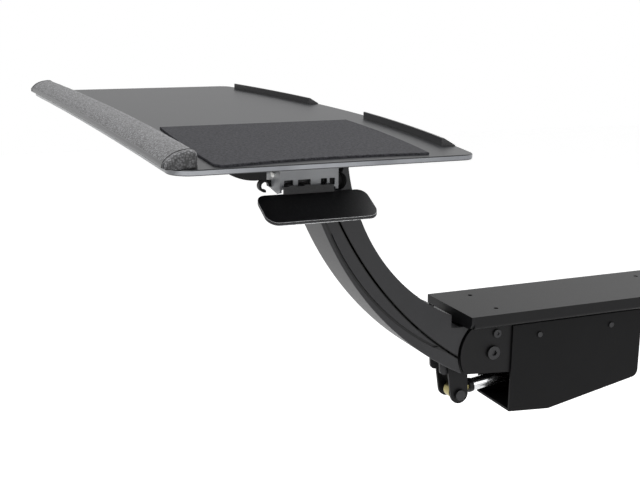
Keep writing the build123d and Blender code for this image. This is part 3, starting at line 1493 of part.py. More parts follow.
# Padded palm rest along the front edge, its section swung about the front edge's far centre
front_radius = (tray_half**2 + tray_front_bow**2) / (2 * tray_front_bow)
front_centre_y = tray_y - tray_front + tray_front_bow - front_radius
rest_nose_y = tray_y - tray_front + tray_front_bow - rest_front_lap
rest_half = tray_half - rest_inset
rest_back_y = rest_nose_y + rest_depth_middle
with BuildPart() as palm_rest:
    with BuildSketch(Plane.YZ.offset(tray_x)):
        with BuildLine():
            Polyline(
                (rest_back_y + overrun, tray_top),
                (rest_nose_y + rest_front_lap, tray_top),
                (rest_nose_y, tray_top + rest_base_height),
            )
            Spline(
                (rest_nose_y, tray_top + rest_base_height),
                (rest_nose_y + rest_depth_end * rest_nose_share, tray_top + rest_height * rest_brow_share),
                (rest_nose_y + rest_depth_middle * rest_crown_share, tray_top + rest_height),
                (rest_back_y + overrun, tray_top + rest_height * rest_back_share),
            )
            Line((rest_back_y + overrun, tray_top + rest_height * rest_back_share),
                 (rest_back_y + overrun, tray_top))
        make_face()
    rest_angle = degrees(rest_half / front_radius)
    revolve(axis=Axis((tray_x, front_centre_y, 0), (0, 0, 1)), revolution_arc=rest_angle)
    revolve_back = palm_rest.part.mirror(Plane.YZ.offset(tray_x))
    add(revolve_back)
    with BuildSketch(Plane.XY.offset(tray_top)) as rest_outline:
        with BuildLine():
            ThreePointArc(
                (tray_x - rest_half, rest_nose_y - tray_front_bow + rest_depth_end),
                (tray_x, rest_back_y),
                (tray_x + rest_half, rest_nose_y - tray_front_bow + rest_depth_end),
            )
            Polyline(
                (tray_x + rest_half, rest_nose_y - tray_front_bow + rest_depth_end),
                (tray_x + rest_half, rest_nose_y - tray_front_bow - overrun),
                (tray_x - rest_half, rest_nose_y - tray_front_bow - overrun),
                (tray_x - rest_half, rest_nose_y - tray_front_bow + rest_depth_end),
            )
        make_face()
        fillet(rest_outline.vertices().group_by(Axis.X)[0], rest_end_round)
        fillet(rest_outline.vertices().group_by(Axis.X)[-1], rest_end_round / 2)
    extrude(amount=rest_height * 2, mode=Mode.INTERSECT)
pieces["palm_rest"] = palm_rest

os.makedirs("parts", exist_ok=True)
for name, piece in pieces.items():
    piece.part.label = name
    export_step(piece.part, "parts/" + name + ".step")
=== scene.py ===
import json
import math

import bpy
import numpy as np
from mathutils import Matrix, Vector


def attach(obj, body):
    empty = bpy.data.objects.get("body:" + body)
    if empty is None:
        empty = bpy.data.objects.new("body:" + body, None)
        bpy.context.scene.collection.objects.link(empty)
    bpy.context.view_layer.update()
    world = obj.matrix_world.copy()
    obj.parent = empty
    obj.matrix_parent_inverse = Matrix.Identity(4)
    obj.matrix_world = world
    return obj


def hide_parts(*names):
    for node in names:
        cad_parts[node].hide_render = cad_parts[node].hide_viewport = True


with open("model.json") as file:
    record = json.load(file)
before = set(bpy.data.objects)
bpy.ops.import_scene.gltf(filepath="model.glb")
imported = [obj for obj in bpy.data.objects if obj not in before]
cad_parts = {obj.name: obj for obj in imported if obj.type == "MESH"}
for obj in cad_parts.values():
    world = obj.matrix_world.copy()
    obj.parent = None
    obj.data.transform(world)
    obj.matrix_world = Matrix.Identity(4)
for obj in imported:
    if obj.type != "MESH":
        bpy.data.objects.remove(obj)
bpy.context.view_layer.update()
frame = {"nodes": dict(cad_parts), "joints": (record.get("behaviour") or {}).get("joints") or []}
nodes = frame["nodes"]
mm = 0.001
print("frame loaded:", len(nodes), "nodes")


def linear(hexColour):
    # sRGB hex to linear RGBA
    parts = [int(hexColour[i:i + 2], 16) / 255 for i in (1, 3, 5)]
    return tuple(p / 12.92 if p <= 0.04045 else ((p + 0.055) / 1.055) ** 2.4 for p in parts) + (1.0,)


def newMaterial(name):
    material = bpy.data.materials.new(name)
    material.use_nodes = True
    tree = material.node_tree
    for node in list(tree.nodes):
        tree.nodes.remove(node)
    output = tree.nodes.new("ShaderNodeOutputMaterial")
    shader = tree.nodes.new("ShaderNodeBsdfPrincipled")
    tree.links.new(shader.outputs["BSDF"], output.inputs["Surface"])
    return material, tree, shader


def addNode(tree, kind, settings=None, values=None, links=None):
    # one node of any kind: attributes, socket values, and sockets it is fed from
    node = tree.nodes.new("ShaderNode" + kind)
    for key, value in (settings or {}).items():
        setattr(node, key, value)
    for key, value in (values or {}).items():
        node.inputs[key].default_value = value
    for key, source in (links or {}).items():
        tree.links.new(source, node.inputs[key])
    return node


def colourRamp(tree, source, stops):
    ramp = addNode(tree, "ValToRGB", links={"Fac": source})
    elements = ramp.color_ramp.elements
    while len(elements) < len(stops):
        elements.new(0.5)
    for element, (place, colour) in zip(elements, stops):
        element.position = place
        element.color = colour
    return ramp


def objectCoords(tree):
    return addNode(tree, "TexCoord").outputs["Object"]


def noiseOn(tree, coords, cellMm, detail=3.0, roughness=0.55):
    # noise whose largest cells are about cellMm across
    return addNode(tree, "TexNoise", values={"Scale": 1000.0 / cellMm, "Detail": detail,
                                             "Roughness": roughness}, links={"Vector": coords})


def shadeOf(colour, share):
    # a lighter or darker shade of a linear colour
    return tuple(min(part * share, 1) for part in colour[:3]) + (1,)


def bumpFrom(tree, shader, height, distanceMm, strength=1.0):
    bump = addNode(tree, "Bump", values={"Strength": strength, "Distance": distanceMm * mm},
                   links={"Height": height})
    tree.links.new(bump.outputs["Normal"], shader.inputs["Normal"])
    return bump


def setShader(shader, **values):
    for key, value in values.items():
        shader.inputs[key].default_value = value


def dress(material, *names):
    for name in names:
        mesh = nodes[name].data
        mesh.materials.clear()
        mesh.materials.append(material)


def shadeSmooth(obj, angle=35):
    for polygon in obj.data.polygons:
        polygon.use_smooth = True
    bpy.context.view_layer.objects.active = obj
    obj.select_set(True)
    bpy.ops.object.shade_auto_smooth(angle=math.radians(angle))
    obj.select_set(False)


def meshObject(name, points, faces, smooth=True):
    mesh = bpy.data.meshes.new(name)
    mesh.from_pydata([tuple(p) for p in points.tolist()], [], [tuple(f) for f in faces])
    mesh.update()
    obj = bpy.data.objects.new(name, mesh)
    bpy.context.scene.collection.objects.link(obj)
    if smooth:
        mesh.polygons.foreach_set("use_smooth", [True] * len(mesh.polygons))
    return obj


def gridFaces(rows, columns, closed):
    # quads between neighbouring rows and columns of a grid; closed joins the last column to the first
    across = columns if closed else columns - 1
    r, c = np.meshgrid(np.arange(rows - 1), np.arange(across), indexing="ij")
    nxt = (c + 1) % columns
    low, high = r * columns, (r + 1) * columns
    quads = np.stack([low + c, low + nxt, high + nxt, high + c], -1)
    return quads.reshape(-1, 4).tolist()


def satinPowderCoat(name, colour, roughness=0.42, orangePeelMm=1.1, shine=0.3, coat=0.05):
    # baked powder paint: an even dark satin with faint orange peel, so highlights break up softly
    material, tree, shader = newMaterial(name)
    coords = objectCoords(tree)
    peel = noiseOn(tree, coords, orangePeelMm, 2.0)
    cloud = noiseOn(tree, coords, 60.0, 3.0)
    base = linear(colour)
    tint = colourRamp(tree, cloud.outputs["Fac"], [(0.3, shadeOf(base, 0.86)), (0.7, shadeOf(base, 1.14))])
    gloss = addNode(tree, "MapRange", values={"To Min": roughness - 0.06, "To Max": roughness + 0.08},
                    links={"Value": peel.outputs["Fac"]})
    tree.links.new(tint.outputs["Color"], shader.inputs["Base Color"])
    tree.links.new(gloss.outputs["Result"], shader.inputs["Roughness"])
    setShader(shader, **{"Specular IOR Level": shine, "Coat Weight": coat, "Coat Roughness": 0.3})
    bumpFrom(tree, shader, peel.outputs["Fac"], 0.035)
    return material


def darkenArc(material, s):
    # shade in a groove: the base colour drops to a share of itself within halfWidth of an arc round X
    tree = material.node_tree
    shader = tree.nodes["Principled BSDF"]
    source = shader.inputs["Base Color"].links[0].from_socket
    flat = addNode(tree, "VectorMath", {"operation": "MULTIPLY_ADD"},
                   {1: (0, 1, 1), 2: (0, -s["centreY"], -s["centreZ"])}, {0: objectCoords(tree)})
    away = addNode(tree, "VectorMath", {"operation": "LENGTH"}, links={0: flat.outputs["Vector"]})
    off = addNode(tree, "Math", {"operation": "SUBTRACT"}, {1: s["radius"]}, {0: away.outputs["Value"]})
    size = addNode(tree, "Math", {"operation": "ABSOLUTE"}, links={0: off.outputs[0]})
    level = addNode(tree, "MapRange", values={"From Min": s["halfWidth"] * s["core"],
                                              "From Max": s["halfWidth"], "To Min": s["share"]},
                    links={"Value": size.outputs[0]})
    shaded = addNode(tree, "VectorMath", {"operation": "SCALE"},
                     links={0: source, "Scale": level.outputs["Result"]})
    tree.links.new(shaded.outputs["Vector"], shader.inputs["Base Color"])


def mouldedPlastic(name, colour, roughness=0.5, grainMm=0.7, shine=0.3):
    # spark-eroded mould grain: matt with a fine even texture
    material, tree, shader = newMaterial(name)
    coords = objectCoords(tree)
    grain = addNode(tree, "TexVoronoi", values={"Scale": 1000.0 / grainMm}, links={"Vector": coords})
    cloud = noiseOn(tree, coords, 35.0)
    base = linear(colour)
    tint = colourRamp(tree, cloud.outputs["Fac"], [(0.3, shadeOf(base, 0.9)), (0.7, shadeOf(base, 1.1))])
    tree.links.new(tint.outputs["Color"], shader.inputs["Base Color"])
    setShader(shader, **{"Roughness": roughness, "Specular IOR Level": shine})
    bumpFrom(tree, shader, grain.outputs["Distance"], 0.03, 0.6)
    return material


def platedSteel(name, colour="#b9b9b4", roughness=0.3, streakMm=0.5):
    # zinc-plated or ground steel: bright, with fine turned streaks and a little clouding
    material, tree, shader = newMaterial(name)
    coords = objectCoords(tree)
    stretched = addNode(tree, "Mapping", values={"Scale": (1.0, 0.08, 0.08)}, links={"Vector": coords})
    streak = noiseOn(tree, stretched.outputs["Vector"], streakMm, 4.0)
    cloud = noiseOn(tree, coords, 7.0)
    base = linear(colour)
    tint = colourRamp(tree, cloud.outputs["Fac"], [(0.25, shadeOf(base, 0.8)), (0.75, base)])
    gloss = addNode(tree, "MapRange", values={"To Min": roughness - 0.1, "To Max": roughness + 0.14},
                    links={"Value": streak.outputs["Fac"]})
    tree.links.new(tint.outputs["Color"], shader.inputs["Base Color"])
    tree.links.new(gloss.outputs["Result"], shader.inputs["Roughness"])
    setShader(shader, **{"Metallic": 1.0})
    bumpFrom(tree, shader, streak.outputs["Fac"], 0.008)
    return material


def nylon(name, colour="#d9d6cc"):
    # natural nylon: milky, soft-edged gloss
    material, tree, shader = newMaterial(name)
    cloud = noiseOn(tree, objectCoords(tree), 12.0)
    tint = colourRamp(tree, cloud.outputs["Fac"], [(0.3, linear("#cfcbbf")), (0.7, linear(colour))])
    tree.links.new(tint.outputs["Color"], shader.inputs["Base Color"])
    setShader(shader, **{"Roughness": 0.45, "IOR": 1.53, "Subsurface Weight": 0.05})
    return material


def facingMask(tree, direction, low, high):
    # 1 where the surface faces along direction or against it, 0 where it stands square to it
    normal = addNode(tree, "TexCoord").outputs["Normal"]
    dot = addNode(tree, "VectorMath", {"operation": "DOT_PRODUCT"}, {1: direction}, {0: normal})
    size = addNode(tree, "Math", {"operation": "ABSOLUTE"}, links={0: dot.outputs["Value"]})
    return addNode(tree, "MapRange", values={"From Min": low, "From Max": high},
                   links={"Value": size.outputs[0]}).outputs["Result"]


def mixColour(tree, factor, first, second):
    mix = addNode(tree, "Mix", {"data_type": "RGBA"}, links={0: factor})
    for socket, value in ((6, first), (7, second)):
        if isinstance(value, tuple):
            mix.inputs[socket].default_value = value
        else:
            tree.links.new(value, mix.inputs[socket])
    return mix.outputs[2]


def trayLaminate(name):
    # compact laminate board: dark satin faces with a fine pearl, and a polished pale grey edge
    s = {"face": "#17181a", "faceLight": "#212225", "edge": "#9a9ca0", "edgeLow": "#6d6f73", "pearlMm": 0.9}
    material, tree, shader = newMaterial(name)
    coords = objectCoords(tree)
    pearl = noiseOn(tree, coords, s["pearlMm"], 4.0, 0.7)
    cloud = noiseOn(tree, coords, 90.0)
    face = colourRamp(tree, pearl.outputs["Fac"], [(0.35, linear(s["face"])),
                                                   (0.72, linear(s["faceLight"]))])
    edge = colourRamp(tree, cloud.outputs["Fac"], [(0.3, linear(s["edgeLow"])),
                                                   (0.7, linear(s["edge"]))])
    mask = facingMask(tree, (0, 0, 1), 0.45, 0.62)
    tree.links.new(mixColour(tree, mask, edge.outputs["Color"], face.outputs["Color"]),
                   shader.inputs["Base Color"])
    gloss = addNode(tree, "MapRange", values={"To Min": 0.16, "To Max": 0.42}, links={"Value": mask})
    tree.links.new(gloss.outputs["Result"], shader.inputs["Roughness"])
    setShader(shader, **{"Specular IOR Level": 0.28})
    bumpFrom(tree, shader, pearl.outputs["Fac"], 0.02)
    return material


def leverPaint(name, paddleStart):
    # satin black paint with random scuffs, and a painted highlight: a thin bright metallic line along the
    # paddle's edges, broken in patches
    s = {"paint": "#161618", "scuffed": "#2b2b2d", "paintedHighlight": "#d2d3d4",
         "highlightBevelMm": 0.8, "patchMm": 6.0, "scuffMm": 1.6}
    material, tree, shader = newMaterial(name)
    coords = objectCoords(tree)
    peel = noiseOn(tree, coords, 1.3, 2.0)
    highlightBreakup = noiseOn(tree, coords, s["patchMm"], 5.0, 0.7)
    scratch = addNode(tree, "Mapping", values={"Scale": (0.15, 1.0, 1.0)}, links={"Vector": coords})
    scuff = noiseOn(tree, scratch.outputs["Vector"], s["scuffMm"], 3.0, 0.75)
    # painted highlight: bright metal colour where the bevel normal parts from the flat normal, only on the
    # paddle's tip, broken by noise patches
    rounded = addNode(tree, "Bevel", {"samples": 6}, {"Radius": s["highlightBevelMm"] * mm})
    flat = addNode(tree, "NewGeometry")
    along = addNode(tree, "VectorMath", {"operation": "DOT_PRODUCT"},
                    links={0: rounded.outputs["Normal"], 1: flat.outputs["Normal"]})
    edge = addNode(tree, "MapRange", values={"From Min": 0.995, "From Max": 0.9},
                   links={"Value": along.outputs["Value"]})
    highlightPatches = addNode(tree, "MapRange", values={"From Min": 0.30, "From Max": 0.44},
                     links={"Value": highlightBreakup.outputs["Fac"]})
    place = addNode(tree, "SeparateXYZ", links={"Vector": coords})
    paddle = addNode(tree, "Math", {"operation": "GREATER_THAN"}, {1: paddleStart}, {0: place.outputs["X"]})
    line = addNode(tree, "Math", {"operation": "MULTIPLY"},
                   links={0: edge.outputs["Result"], 1: highlightPatches.outputs["Result"]})
    highlightLineMask = addNode(tree, "Math", {"operation": "MULTIPLY"},
                     links={0: line.outputs[0], 1: paddle.outputs[0]})
    face = colourRamp(tree, scuff.outputs["Fac"], [(0.45, linear(s["paint"])), (0.8, linear(s["scuffed"]))])
    tree.links.new(mixColour(tree, highlightLineMask.outputs[0], face.outputs["Color"], linear(s["paintedHighlight"])),
                   shader.inputs["Base Color"])
    tree.links.new(highlightLineMask.outputs[0], shader.inputs["Metallic"])
    setShader(shader, **{"Roughness": 0.42, "Specular IOR Level": 0.28})
    bumpFrom(tree, shader, peel.outputs["Fac"], 0.03)
    return material


def pebbledCover(name):
    # embossed palm-rest cover: dark grey with small rounded pebbles, with a painted highlight on their tops
    # and painted shade in the valleys between, and painted shade on the strip's end faces
    s = {"valleyShade": "#202022", "top": "#88888b", "pebbleMm": 1.8, "endShade": 0.36,
         "warp": 0.0006}
    material, tree, shader = newMaterial(name)
    coords = objectCoords(tree)
    warp = noiseOn(tree, coords, 6.0)
    moved = addNode(tree, "VectorMath", {"operation": "MULTIPLY_ADD"}, {1: (s["warp"],) * 3},
                    {0: warp.outputs["Color"], 2: coords})
    pebble = addNode(tree, "TexVoronoi", {"feature": "SMOOTH_F1"},
                     {"Scale": 1000.0 / s["pebbleMm"], "Smoothness": 0.35},
                     {"Vector": moved.outputs["Vector"]})
    cloud = noiseOn(tree, coords, 25.0)
    # painted highlight at each pebble's centre and painted shade in the valleys between
    tint = colourRamp(tree, pebble.outputs["Distance"], [(0.05, linear(s["top"])),
                                                         (0.62, linear(s["valleyShade"]))])
    shade = addNode(tree, "MapRange", values={"To Min": 0.85, "To Max": 1.12},
                    links={"Value": cloud.outputs["Fac"]})
    # painted shade: faces turned along X, the strip's ends, are darker
    endFace = addNode(tree, "MapRange", values={"To Min": 1.0, "To Max": s["endShade"]},
                      links={"Value": facingMask(tree, (1, 0, 0), 0.55, 0.85)})
    both = addNode(tree, "Math", {"operation": "MULTIPLY"},
                   links={0: shade.outputs["Result"], 1: endFace.outputs["Result"]})
    mixed = addNode(tree, "VectorMath", {"operation": "SCALE"},
                    links={0: tint.outputs["Color"], "Scale": both.outputs[0]})
    tree.links.new(mixed.outputs["Vector"], shader.inputs["Base Color"])
    height = addNode(tree, "Math", {"operation": "SUBTRACT"}, {0: 1.0}, {1: pebble.outputs["Distance"]})
    setShader(shader, **{"Roughness": 0.55, "IOR": 1.48, "Sheen Weight": 0.15, "Sheen Roughness": 0.5})
    bumpFrom(tree, shader, height.outputs[0], 0.34)
    return material


def padCloth(name):
    # knitted top of a mouse pad: near black, two crossed thread waves under a soft nap
    s = {"low": "#111113", "high": "#3e3e42", "threadMm": 0.85, "fleckMm": 2.6}
    material, tree, shader = newMaterial(name)
    coords = objectCoords(tree)
    waves = [addNode(tree, "TexWave", {"bands_direction": axis},
                     {"Scale": 1000.0 / s["threadMm"] / 20.0, "Distortion": 0.6, "Detail": 1.0},
                     {"Vector": coords}) for axis in ("X", "Y")]
    weave = addNode(tree, "Math", {"operation": "MULTIPLY"},
                    links={0: waves[0].outputs["Fac"], 1: waves[1].outputs["Fac"]})
    nap = noiseOn(tree, coords, s["fleckMm"], 6.0, 0.85)
    both = addNode(tree, "Math", {"operation": "ADD"}, links={0: weave.outputs[0], 1: nap.outputs["Fac"]})
    tint = colourRamp(tree, nap.outputs["Fac"], [(0.38, linear(s["low"])), (0.62, linear(s["high"]))])
    tree.links.new(tint.outputs["Color"], shader.inputs["Base Color"])
    setShader(shader, **{"Roughness": 0.75, "Specular IOR Level": 0.12})
    bumpFrom(tree, shader, both.outputs[0], 0.03, 0.5)
    return material


blackCoat = satinPowderCoat("blackPowderCoat", "#0e0e0f", 0.44, 1.1, 0.14, 0.02)
armCoat = satinPowderCoat("graphiteArmCoat", "#1f1f21", 0.46, 1.4, 0.28, 0.03)
armGroove = {"centreY": -0.1740, "centreZ": 0.2260, "radius": 0.2980, "halfWidth": 0.0014,
             "core": 0.85, "share": 0.12}
armSeam = {"centreY": -0.0530, "centreZ": 0.3060, "radius": 0.4280, "halfWidth": 0.0022,
           "core": 0.85, "share": 0.12}
for line in (armGroove, armSeam):
    darkenArc(armCoat, line)
bracketCoat = satinPowderCoat("paleGreyCoat", "#8d8f92", 0.33, 0.9, 0.5, 0.2)
blackPlastic = mouldedPlastic("blackMouldedPlastic", "#0e0e10", 0.46, 0.7, 0.16)
shroudPlastic = mouldedPlastic("shroudPlastic", "#0b0b0c", 0.5, 0.9, 0.1)
railPlastic = mouldedPlastic("railPlastic", "#151517", 0.34, 0.8, 0.4)
zinc = platedSteel("zincSteel")
brightZinc = platedSteel("brightZinc", "#e6e6e3", 0.42)
darkBolt = platedSteel("blackenedSteel", "#3a3a3b", 0.38)
springSteel = platedSteel("groundSteel", "#c9cacb", 0.2)
fittingBrass = platedSteel("yellowPlating", "#a39a6a", 0.34)
milkNylon = nylon("naturalNylon")
leverReach = max(vertex.co.x for vertex in nodes["release_lever"].data.vertices)
# the lever's painted highlight line runs along the last 35 mm of the paddle
highlightReach = 0.035
leverBlack = leverPaint("leverPaint", leverReach - highlightReach)

dress(blackCoat, "track_rail", "base_bracket", "torque_plates", "parallel_link", "mount_plate",
      "head_housing")
dress(armCoat, "arm_casting", "arm_rear_cover")
dress(bracketCoat, "lever_bracket")
dress(blackPlastic, "track_front_stop", "track_rear_stop", "cylinder_cap", "cable_clip")
dress(shroudPlastic, "shroud", "head_pivot_bolts")
dress(railPlastic, "stop_rail_right", "stop_rail_left")
dress(zinc, "carriage_plate", "carriage_boss", "swivel_bolt", "swivel_nut", "pivot_spacers", "link_spacers",
      "level_plates", "link_upper_pin", "torque_nut", "anchor_pin", "main_pivot_nuts",
      "head_pivot_nuts", "mount_screws", "rail_screws")
dress(brightZinc, "lever_rod")
dress(darkBolt, "main_pivot_bolts", "link_pivot_screw", "torque_bolt", "shroud_screws", "arm_screws")
dress(springSteel, "gas_tube", "gas_rod", "lever_spring")
dress(fittingBrass, "cylinder_end_fitting", "rod_end_fitting")
dress(milkNylon, "carriage_glides", "swivel_washer", "pivot_bushes", "clutch_discs")
dress(leverBlack, "release_lever")
dress(trayLaminate("trayLaminate"), "tray_board")
dress(padCloth("mousePadCloth"), "mouse_pad")
for name, node in nodes.items():
    shadeSmooth(node, 30)
print("CAD nodes dressed")

# Folded web of the release lever, close behind the bracket's windows, which makes them look dark.
web = {"innerX": 0.0176, "outerX": 0.0190, "frontY": -0.4955, "stepY": -0.4640, "rearY": -0.4480,
       "lowZ": 0.1490, "highZ": 0.1590, "rearHighZ": 0.1545}
webOutline = [(web["frontY"], web["lowZ"]), (web["rearY"], web["lowZ"]), (web["rearY"], web["rearHighZ"]),
              (web["stepY"], web["rearHighZ"]), (web["stepY"], web["highZ"]), (web["frontY"], web["highZ"])]
webPoints = np.array([(x, y, z) for x in (web["innerX"], web["outerX"]) for y, z in webOutline])
corners = len(webOutline)
webFaces = [[i, (i + 1) % corners, corners + (i + 1) % corners, corners + i] for i in range(corners)]
webFaces += [list(range(corners))[::-1], list(range(corners, 2 * corners))]
leverWeb = meshObject("leverInnerWeb", webPoints, webFaces, smooth=False)
leverWeb.data.materials.append(leverBlack)
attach(leverWeb, "lever")

# Black rings on the upper pivot's caps. The CAD's caps are narrower than the arm's hollow end, and these
# widen them to one broad black disc that covers it.
tiltAxis = next(joint["pos_m"] for joint in frame["joints"] if joint["name"] == "tray_tilt")
flange = {"y": tiltAxis[1], "z": tiltAxis[2], "innerX": 0.0216, "outerX": 0.0226,
          "hole": 0.0079, "radius": 0.0128, "edge": 0.0003, "sides": 96}


def ringAcross(name, s, side):
    # a ring round an axis along X: section points (x, radius) turned by an angle in even steps
    section = [(s["innerX"], s["hole"]), (s["outerX"], s["hole"]), (s["outerX"], s["radius"] - s["edge"]),
               (s["outerX"] - s["edge"], s["radius"]), (s["innerX"], s["radius"])]
    turn = side * np.linspace(0, 2 * np.pi, s["sides"], endpoint=False)
    rings = [np.stack([np.full_like(turn, side * x), s["y"] + radius * np.cos(turn),
                       s["z"] + radius * np.sin(turn)], -1) for x, radius in section]
    count = len(section) * s["sides"]
    faces = (np.array(gridFaces(len(section) + 1, s["sides"], True)) % count).tolist()
    return meshObject(name, np.concatenate(rings), faces)


for side, sign in (("Right", 1), ("Left", -1)):
    ring = ringAcross("pivotCapFlange" + side, flange, sign)
    ring.data.materials.append(shroudPlastic)
    shadeSmooth(ring)
    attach(ring, "head")

# Palm rest: a padded strip in a pebbled cover, with a smooth base band and piping at its ends.

palm = {
    "trayX": -0.130, "halfLength": 0.340, "noseY": -0.661, "top": 0.208, "bow": 0.0039,
    "depthMiddle": 0.031, "depthEnd": 0.027, "height": 0.0146, "endRound": 0.005,
    "columns": 72, "rows": 240, "dimple": 0.00012, "lift": 0.0002,
    "endDepthShare": 0.86, "endHeightShare": 0.82,
}


def palmSection(v):
    # one turn round the strip's section, in shares of its depth and height, v = 0 at the bottom front.
    # y = (1 - cos^p) / 2 and z = sin^q * crown(y): a round nose, a top that climbs, and a square back
    c, t = np.cos(v), np.sin(v)
    p = np.where(c > 0, 0.62, 0.30)
    q = np.where(c > 0, 0.60, 0.32)
    y = 0.5 - 0.5 * np.sign(c) * np.abs(c) ** p
    crown = 0.52 + 0.48 * np.sin(np.clip(y / 0.82, 0, 1) * np.pi / 2)
    return y, np.where(t >= 0, np.abs(t) ** q * crown, -0.02 * np.abs(t))


def palmRestCushion(s):
    # Along the strip the front follows the tray's hollow edge, and both ends shrink as a rounded cap.
    u = np.linspace(-1, 1, s["rows"])
    cap = s["endRound"] / s["halfLength"]
    reach = np.clip((1 - np.abs(u)) / cap, 0, 1)
    endScale = np.sqrt(np.clip(1 - (1 - reach) ** 2, 0, 1))
    sectionY, sectionZ = palmSection(np.linspace(0, 2 * np.pi, s["columns"], endpoint=False))
    depth = s["depthEnd"] + (s["depthMiddle"] - s["depthEnd"]) * (1 - u ** 2)
    shrink = s["endDepthShare"] + (1 - s["endDepthShare"]) * endScale
    rise = s["height"] * (s["endHeightShare"] + (1 - s["endHeightShare"]) * endScale)
    x = s["trayX"] + u * s["halfLength"]
    front = s["noseY"] - s["bow"] * u ** 2
    ripple = s["dimple"] * np.sin(u * 61.0) * np.sin(u * 23.0 + 1.0)
    y = front[:, None] + depth[:, None] * (0.5 + (sectionY[None, :] - 0.5) * shrink[:, None])
    z = s["top"] + np.maximum(sectionZ[None, :], 0) * (rise + ripple)[:, None] + s["lift"]
    points = np.stack([np.broadcast_to(x[:, None], y.shape), y, z], -1).reshape(-1, 3)
    faces = gridFaces(s["rows"], s["columns"], True)
    faces.append(list(range(s["columns"]))[::-1])
    last = (s["rows"] - 1) * s["columns"]
    faces.append([last + i for i in range(s["columns"])])
    obj = meshObject("palmRestCushion", points, faces)
    subdivision = obj.modifiers.new("soften", "SUBSURF")
    subdivision.levels = 1
    subdivision.render_levels = 1
    return obj


cushion = palmRestCushion(palm)
cushion.data.materials.append(pebbledCover("pebbledPalmCover"))
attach(cushion, "head")
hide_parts("palm_rest")


def stripAlong(name, s, profile, rows=120, endInset=0.0):
    # a thin profile carried along the palm rest's front edge;
    # profile points are (back from the nose, above the tray)
    u = np.linspace(-1 + endInset, 1 - endInset, rows)
    x = s["trayX"] + u * s["halfLength"]
    front = s["noseY"] - s["bow"] * u ** 2
    section = np.array(profile)
    y = front[:, None] + section[None, :, 0]
    z = np.broadcast_to(s["top"] + section[None, :, 1], y.shape)
    points = np.stack([np.broadcast_to(x[:, None], y.shape), y, z], -1).reshape(-1, 3)
    faces = gridFaces(rows, len(section), True)
    faces.append(list(range(len(section)))[::-1])
    faces.append([(rows - 1) * len(section) + i for i in range(len(section))])
    return meshObject(name, points, faces, smooth=False)


# smooth moulded base that shows as a shiny band below the padding
baseProfile = [(0.0006, 0.0001), (-0.0002, 0.0012), (-0.0002, 0.0044), (0.0008, 0.0052),
               (0.0225, 0.0052), (0.0230, 0.0001)]
base = stripAlong("palmRestBase", palm, baseProfile, endInset=0.014)
base.data.materials.append(mouldedPlastic("palmBasePlastic", "#2e2f31", 0.3, 1.2))
shadeSmooth(base)
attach(base, "head")


def pipingLoop(name, s, cord):
    # a cord round the palm rest's section at the place u along it
    sectionY, sectionZ = palmSection(np.linspace(0, 2 * np.pi, cord["points"], endpoint=False))
    u = cord["u"]
    depth = s["depthEnd"] + (s["depthMiddle"] - s["depthEnd"]) * (1 - u ** 2)
    y = s["noseY"] - s["bow"] * u ** 2 + depth * sectionY
    z = s["top"] + np.maximum(sectionZ * s["height"], cord["radius"])
    path = np.stack([np.full_like(y, s["trayX"] + u * s["halfLength"]), y, z], -1)
    outward = path - path.mean(0)
    outward[:, 0] = 0
    outward /= np.linalg.norm(outward, axis=1)[:, None]
    turn = np.linspace(0, 2 * np.pi, cord["sides"], endpoint=False)[None, :, None]
    along = np.array([1.0, 0, 0])
    tube = path[:, None, :] + cord["radius"] * (np.cos(turn) * outward[:, None, :] + np.sin(turn) * along)
    rounds = gridFaces(cord["points"] + 1, cord["sides"], True)
    faces = (np.array(rounds) % (cord["points"] * cord["sides"])).tolist()
    return meshObject(name, tube.reshape(-1, 3), faces)


pipingMaterial = mouldedPlastic("pipingVinyl", "#121213", 0.4, 0.6)
for side, u in (("Right", 0.968), ("Left", -0.968)):
    cord = {"u": u, "radius": 0.0008, "points": 64, "sides": 10}
    piping = pipingLoop("palmRestPiping" + side, palm, cord)
    piping.data.materials.append(pipingMaterial)
    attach(piping, "head")
print("palm rest made")

# Floor, light and camera.

stage = {
    "floorZ": -0.71, "floorHalf": 6.0, "floorColour": "#f4f4f4", "floorLift": 0.45,
    "worldLight": 0.55, "worldSeen": 1.0,
    "key": {"place": (0.9, -1.6, 2.1), "size": 1.8, "watts": 46.0},
    "fill": {"place": (2.4, 0.3, 0.7), "size": 1.6, "watts": 20.0},
    "rear": {"place": (-0.9, 1.2, 1.9), "size": 1.5, "watts": 28.0},
    "target": (-0.05, -0.3, 0.08),
}

floorMesh = bpy.data.meshes.new("paleFloor")
floorCorners = [(x * stage["floorHalf"], y * stage["floorHalf"], stage["floorZ"])
                for x, y in ((-1, -1), (1, -1), (1, 1), (-1, 1))]
floorMesh.from_pydata(floorCorners, [], [(0, 1, 2, 3)])
floor = bpy.data.objects.new("paleFloor", floorMesh)
bpy.context.scene.collection.objects.link(floor)
floorMaterial, floorTree, floorShader = newMaterial("matteFloor")
floorShader.inputs["Base Color"].default_value = linear(stage["floorColour"])
floorShader.inputs["Roughness"].default_value = 0.85
floorRays = addNode(floorTree, "LightPath")
floorSeen = addNode(floorTree, "Math", {"operation": "MAXIMUM"},
                    links={0: floorRays.outputs["Is Camera Ray"], 1: floorRays.outputs["Is Glossy Ray"]})
floorLift = addNode(floorTree, "Math", {"operation": "MULTIPLY"}, {1: stage["floorLift"]},
                    {0: floorSeen.outputs[0]})
floorShader.inputs["Emission Color"].default_value = linear("#ffffff")
floorTree.links.new(floorLift.outputs[0], floorShader.inputs["Emission Strength"])
floorMesh.materials.append(floorMaterial)

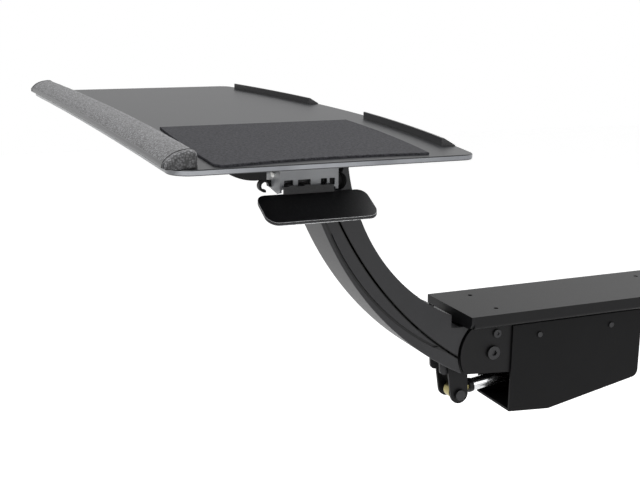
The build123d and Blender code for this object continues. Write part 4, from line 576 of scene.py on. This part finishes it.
world = bpy.data.worlds.new("softWhiteRoom")
bpy.context.scene.world = world
world.use_nodes = True
worldTree = world.node_tree
background = worldTree.nodes["Background"]
background.inputs["Color"].default_value = linear("#ffffff")
rays = addNode(worldTree, "LightPath")
seen = addNode(worldTree, "Math", {"operation": "MAXIMUM"},
               links={0: rays.outputs["Is Camera Ray"], 1: rays.outputs["Is Glossy Ray"]})
strength = addNode(worldTree, "MapRange",
                   values={"To Min": stage["worldLight"], "To Max": stage["worldSeen"]},
                   links={"Value": seen.outputs[0]})
worldTree.links.new(strength.outputs["Result"], background.inputs["Strength"])

for name in ("key", "fill", "rear"):
    s = stage[name]
    lamp = bpy.data.lights.new(name + "Softbox", "AREA")
    lamp.shape = "SQUARE"
    lamp.size = s["size"]
    lamp.energy = s["watts"]
    lampObject = bpy.data.objects.new(name + "Softbox", lamp)
    bpy.context.scene.collection.objects.link(lampObject)
    lampObject.location = s["place"]
    aim = Vector(stage["target"]) - Vector(s["place"])
    lampObject.rotation_euler = aim.to_track_quat("-Z", "Y").to_euler()

camera = {"place": (1.0070, -0.8788, 0.3469), "azimuth": 66.63, "elevation": 13.23, "roll": 0.69,
          "lens": 60.3, "sensor": 36.0, "clipEnd": 50.0}
a, e, r = (math.radians(camera[k]) for k in ("azimuth", "elevation", "roll"))
back = Vector((math.sin(a) * math.cos(e), -math.cos(a) * math.cos(e), math.sin(e)))
right = Vector((math.cos(a), math.sin(a), 0.0))
up = back.cross(right)
rolledRight = right * math.cos(r) + up * math.sin(r)
rolledUp = up * math.cos(r) - right * math.sin(r)
cameraData = bpy.data.cameras.new("photoCamera")
cameraData.lens = camera["lens"]
cameraData.sensor_width = camera["sensor"]
cameraData.clip_end = camera["clipEnd"]
cameraObject = bpy.data.objects.new("photoCamera", cameraData)
bpy.context.scene.collection.objects.link(cameraObject)
turn = Matrix((rolledRight, rolledUp, back)).transposed().to_4x4()
cameraObject.matrix_world = Matrix.Translation(Vector(camera["place"])) @ turn
bpy.context.scene.camera = cameraObject
bpy.context.scene.view_settings.view_transform = "Standard"
print("stage, light and camera set")
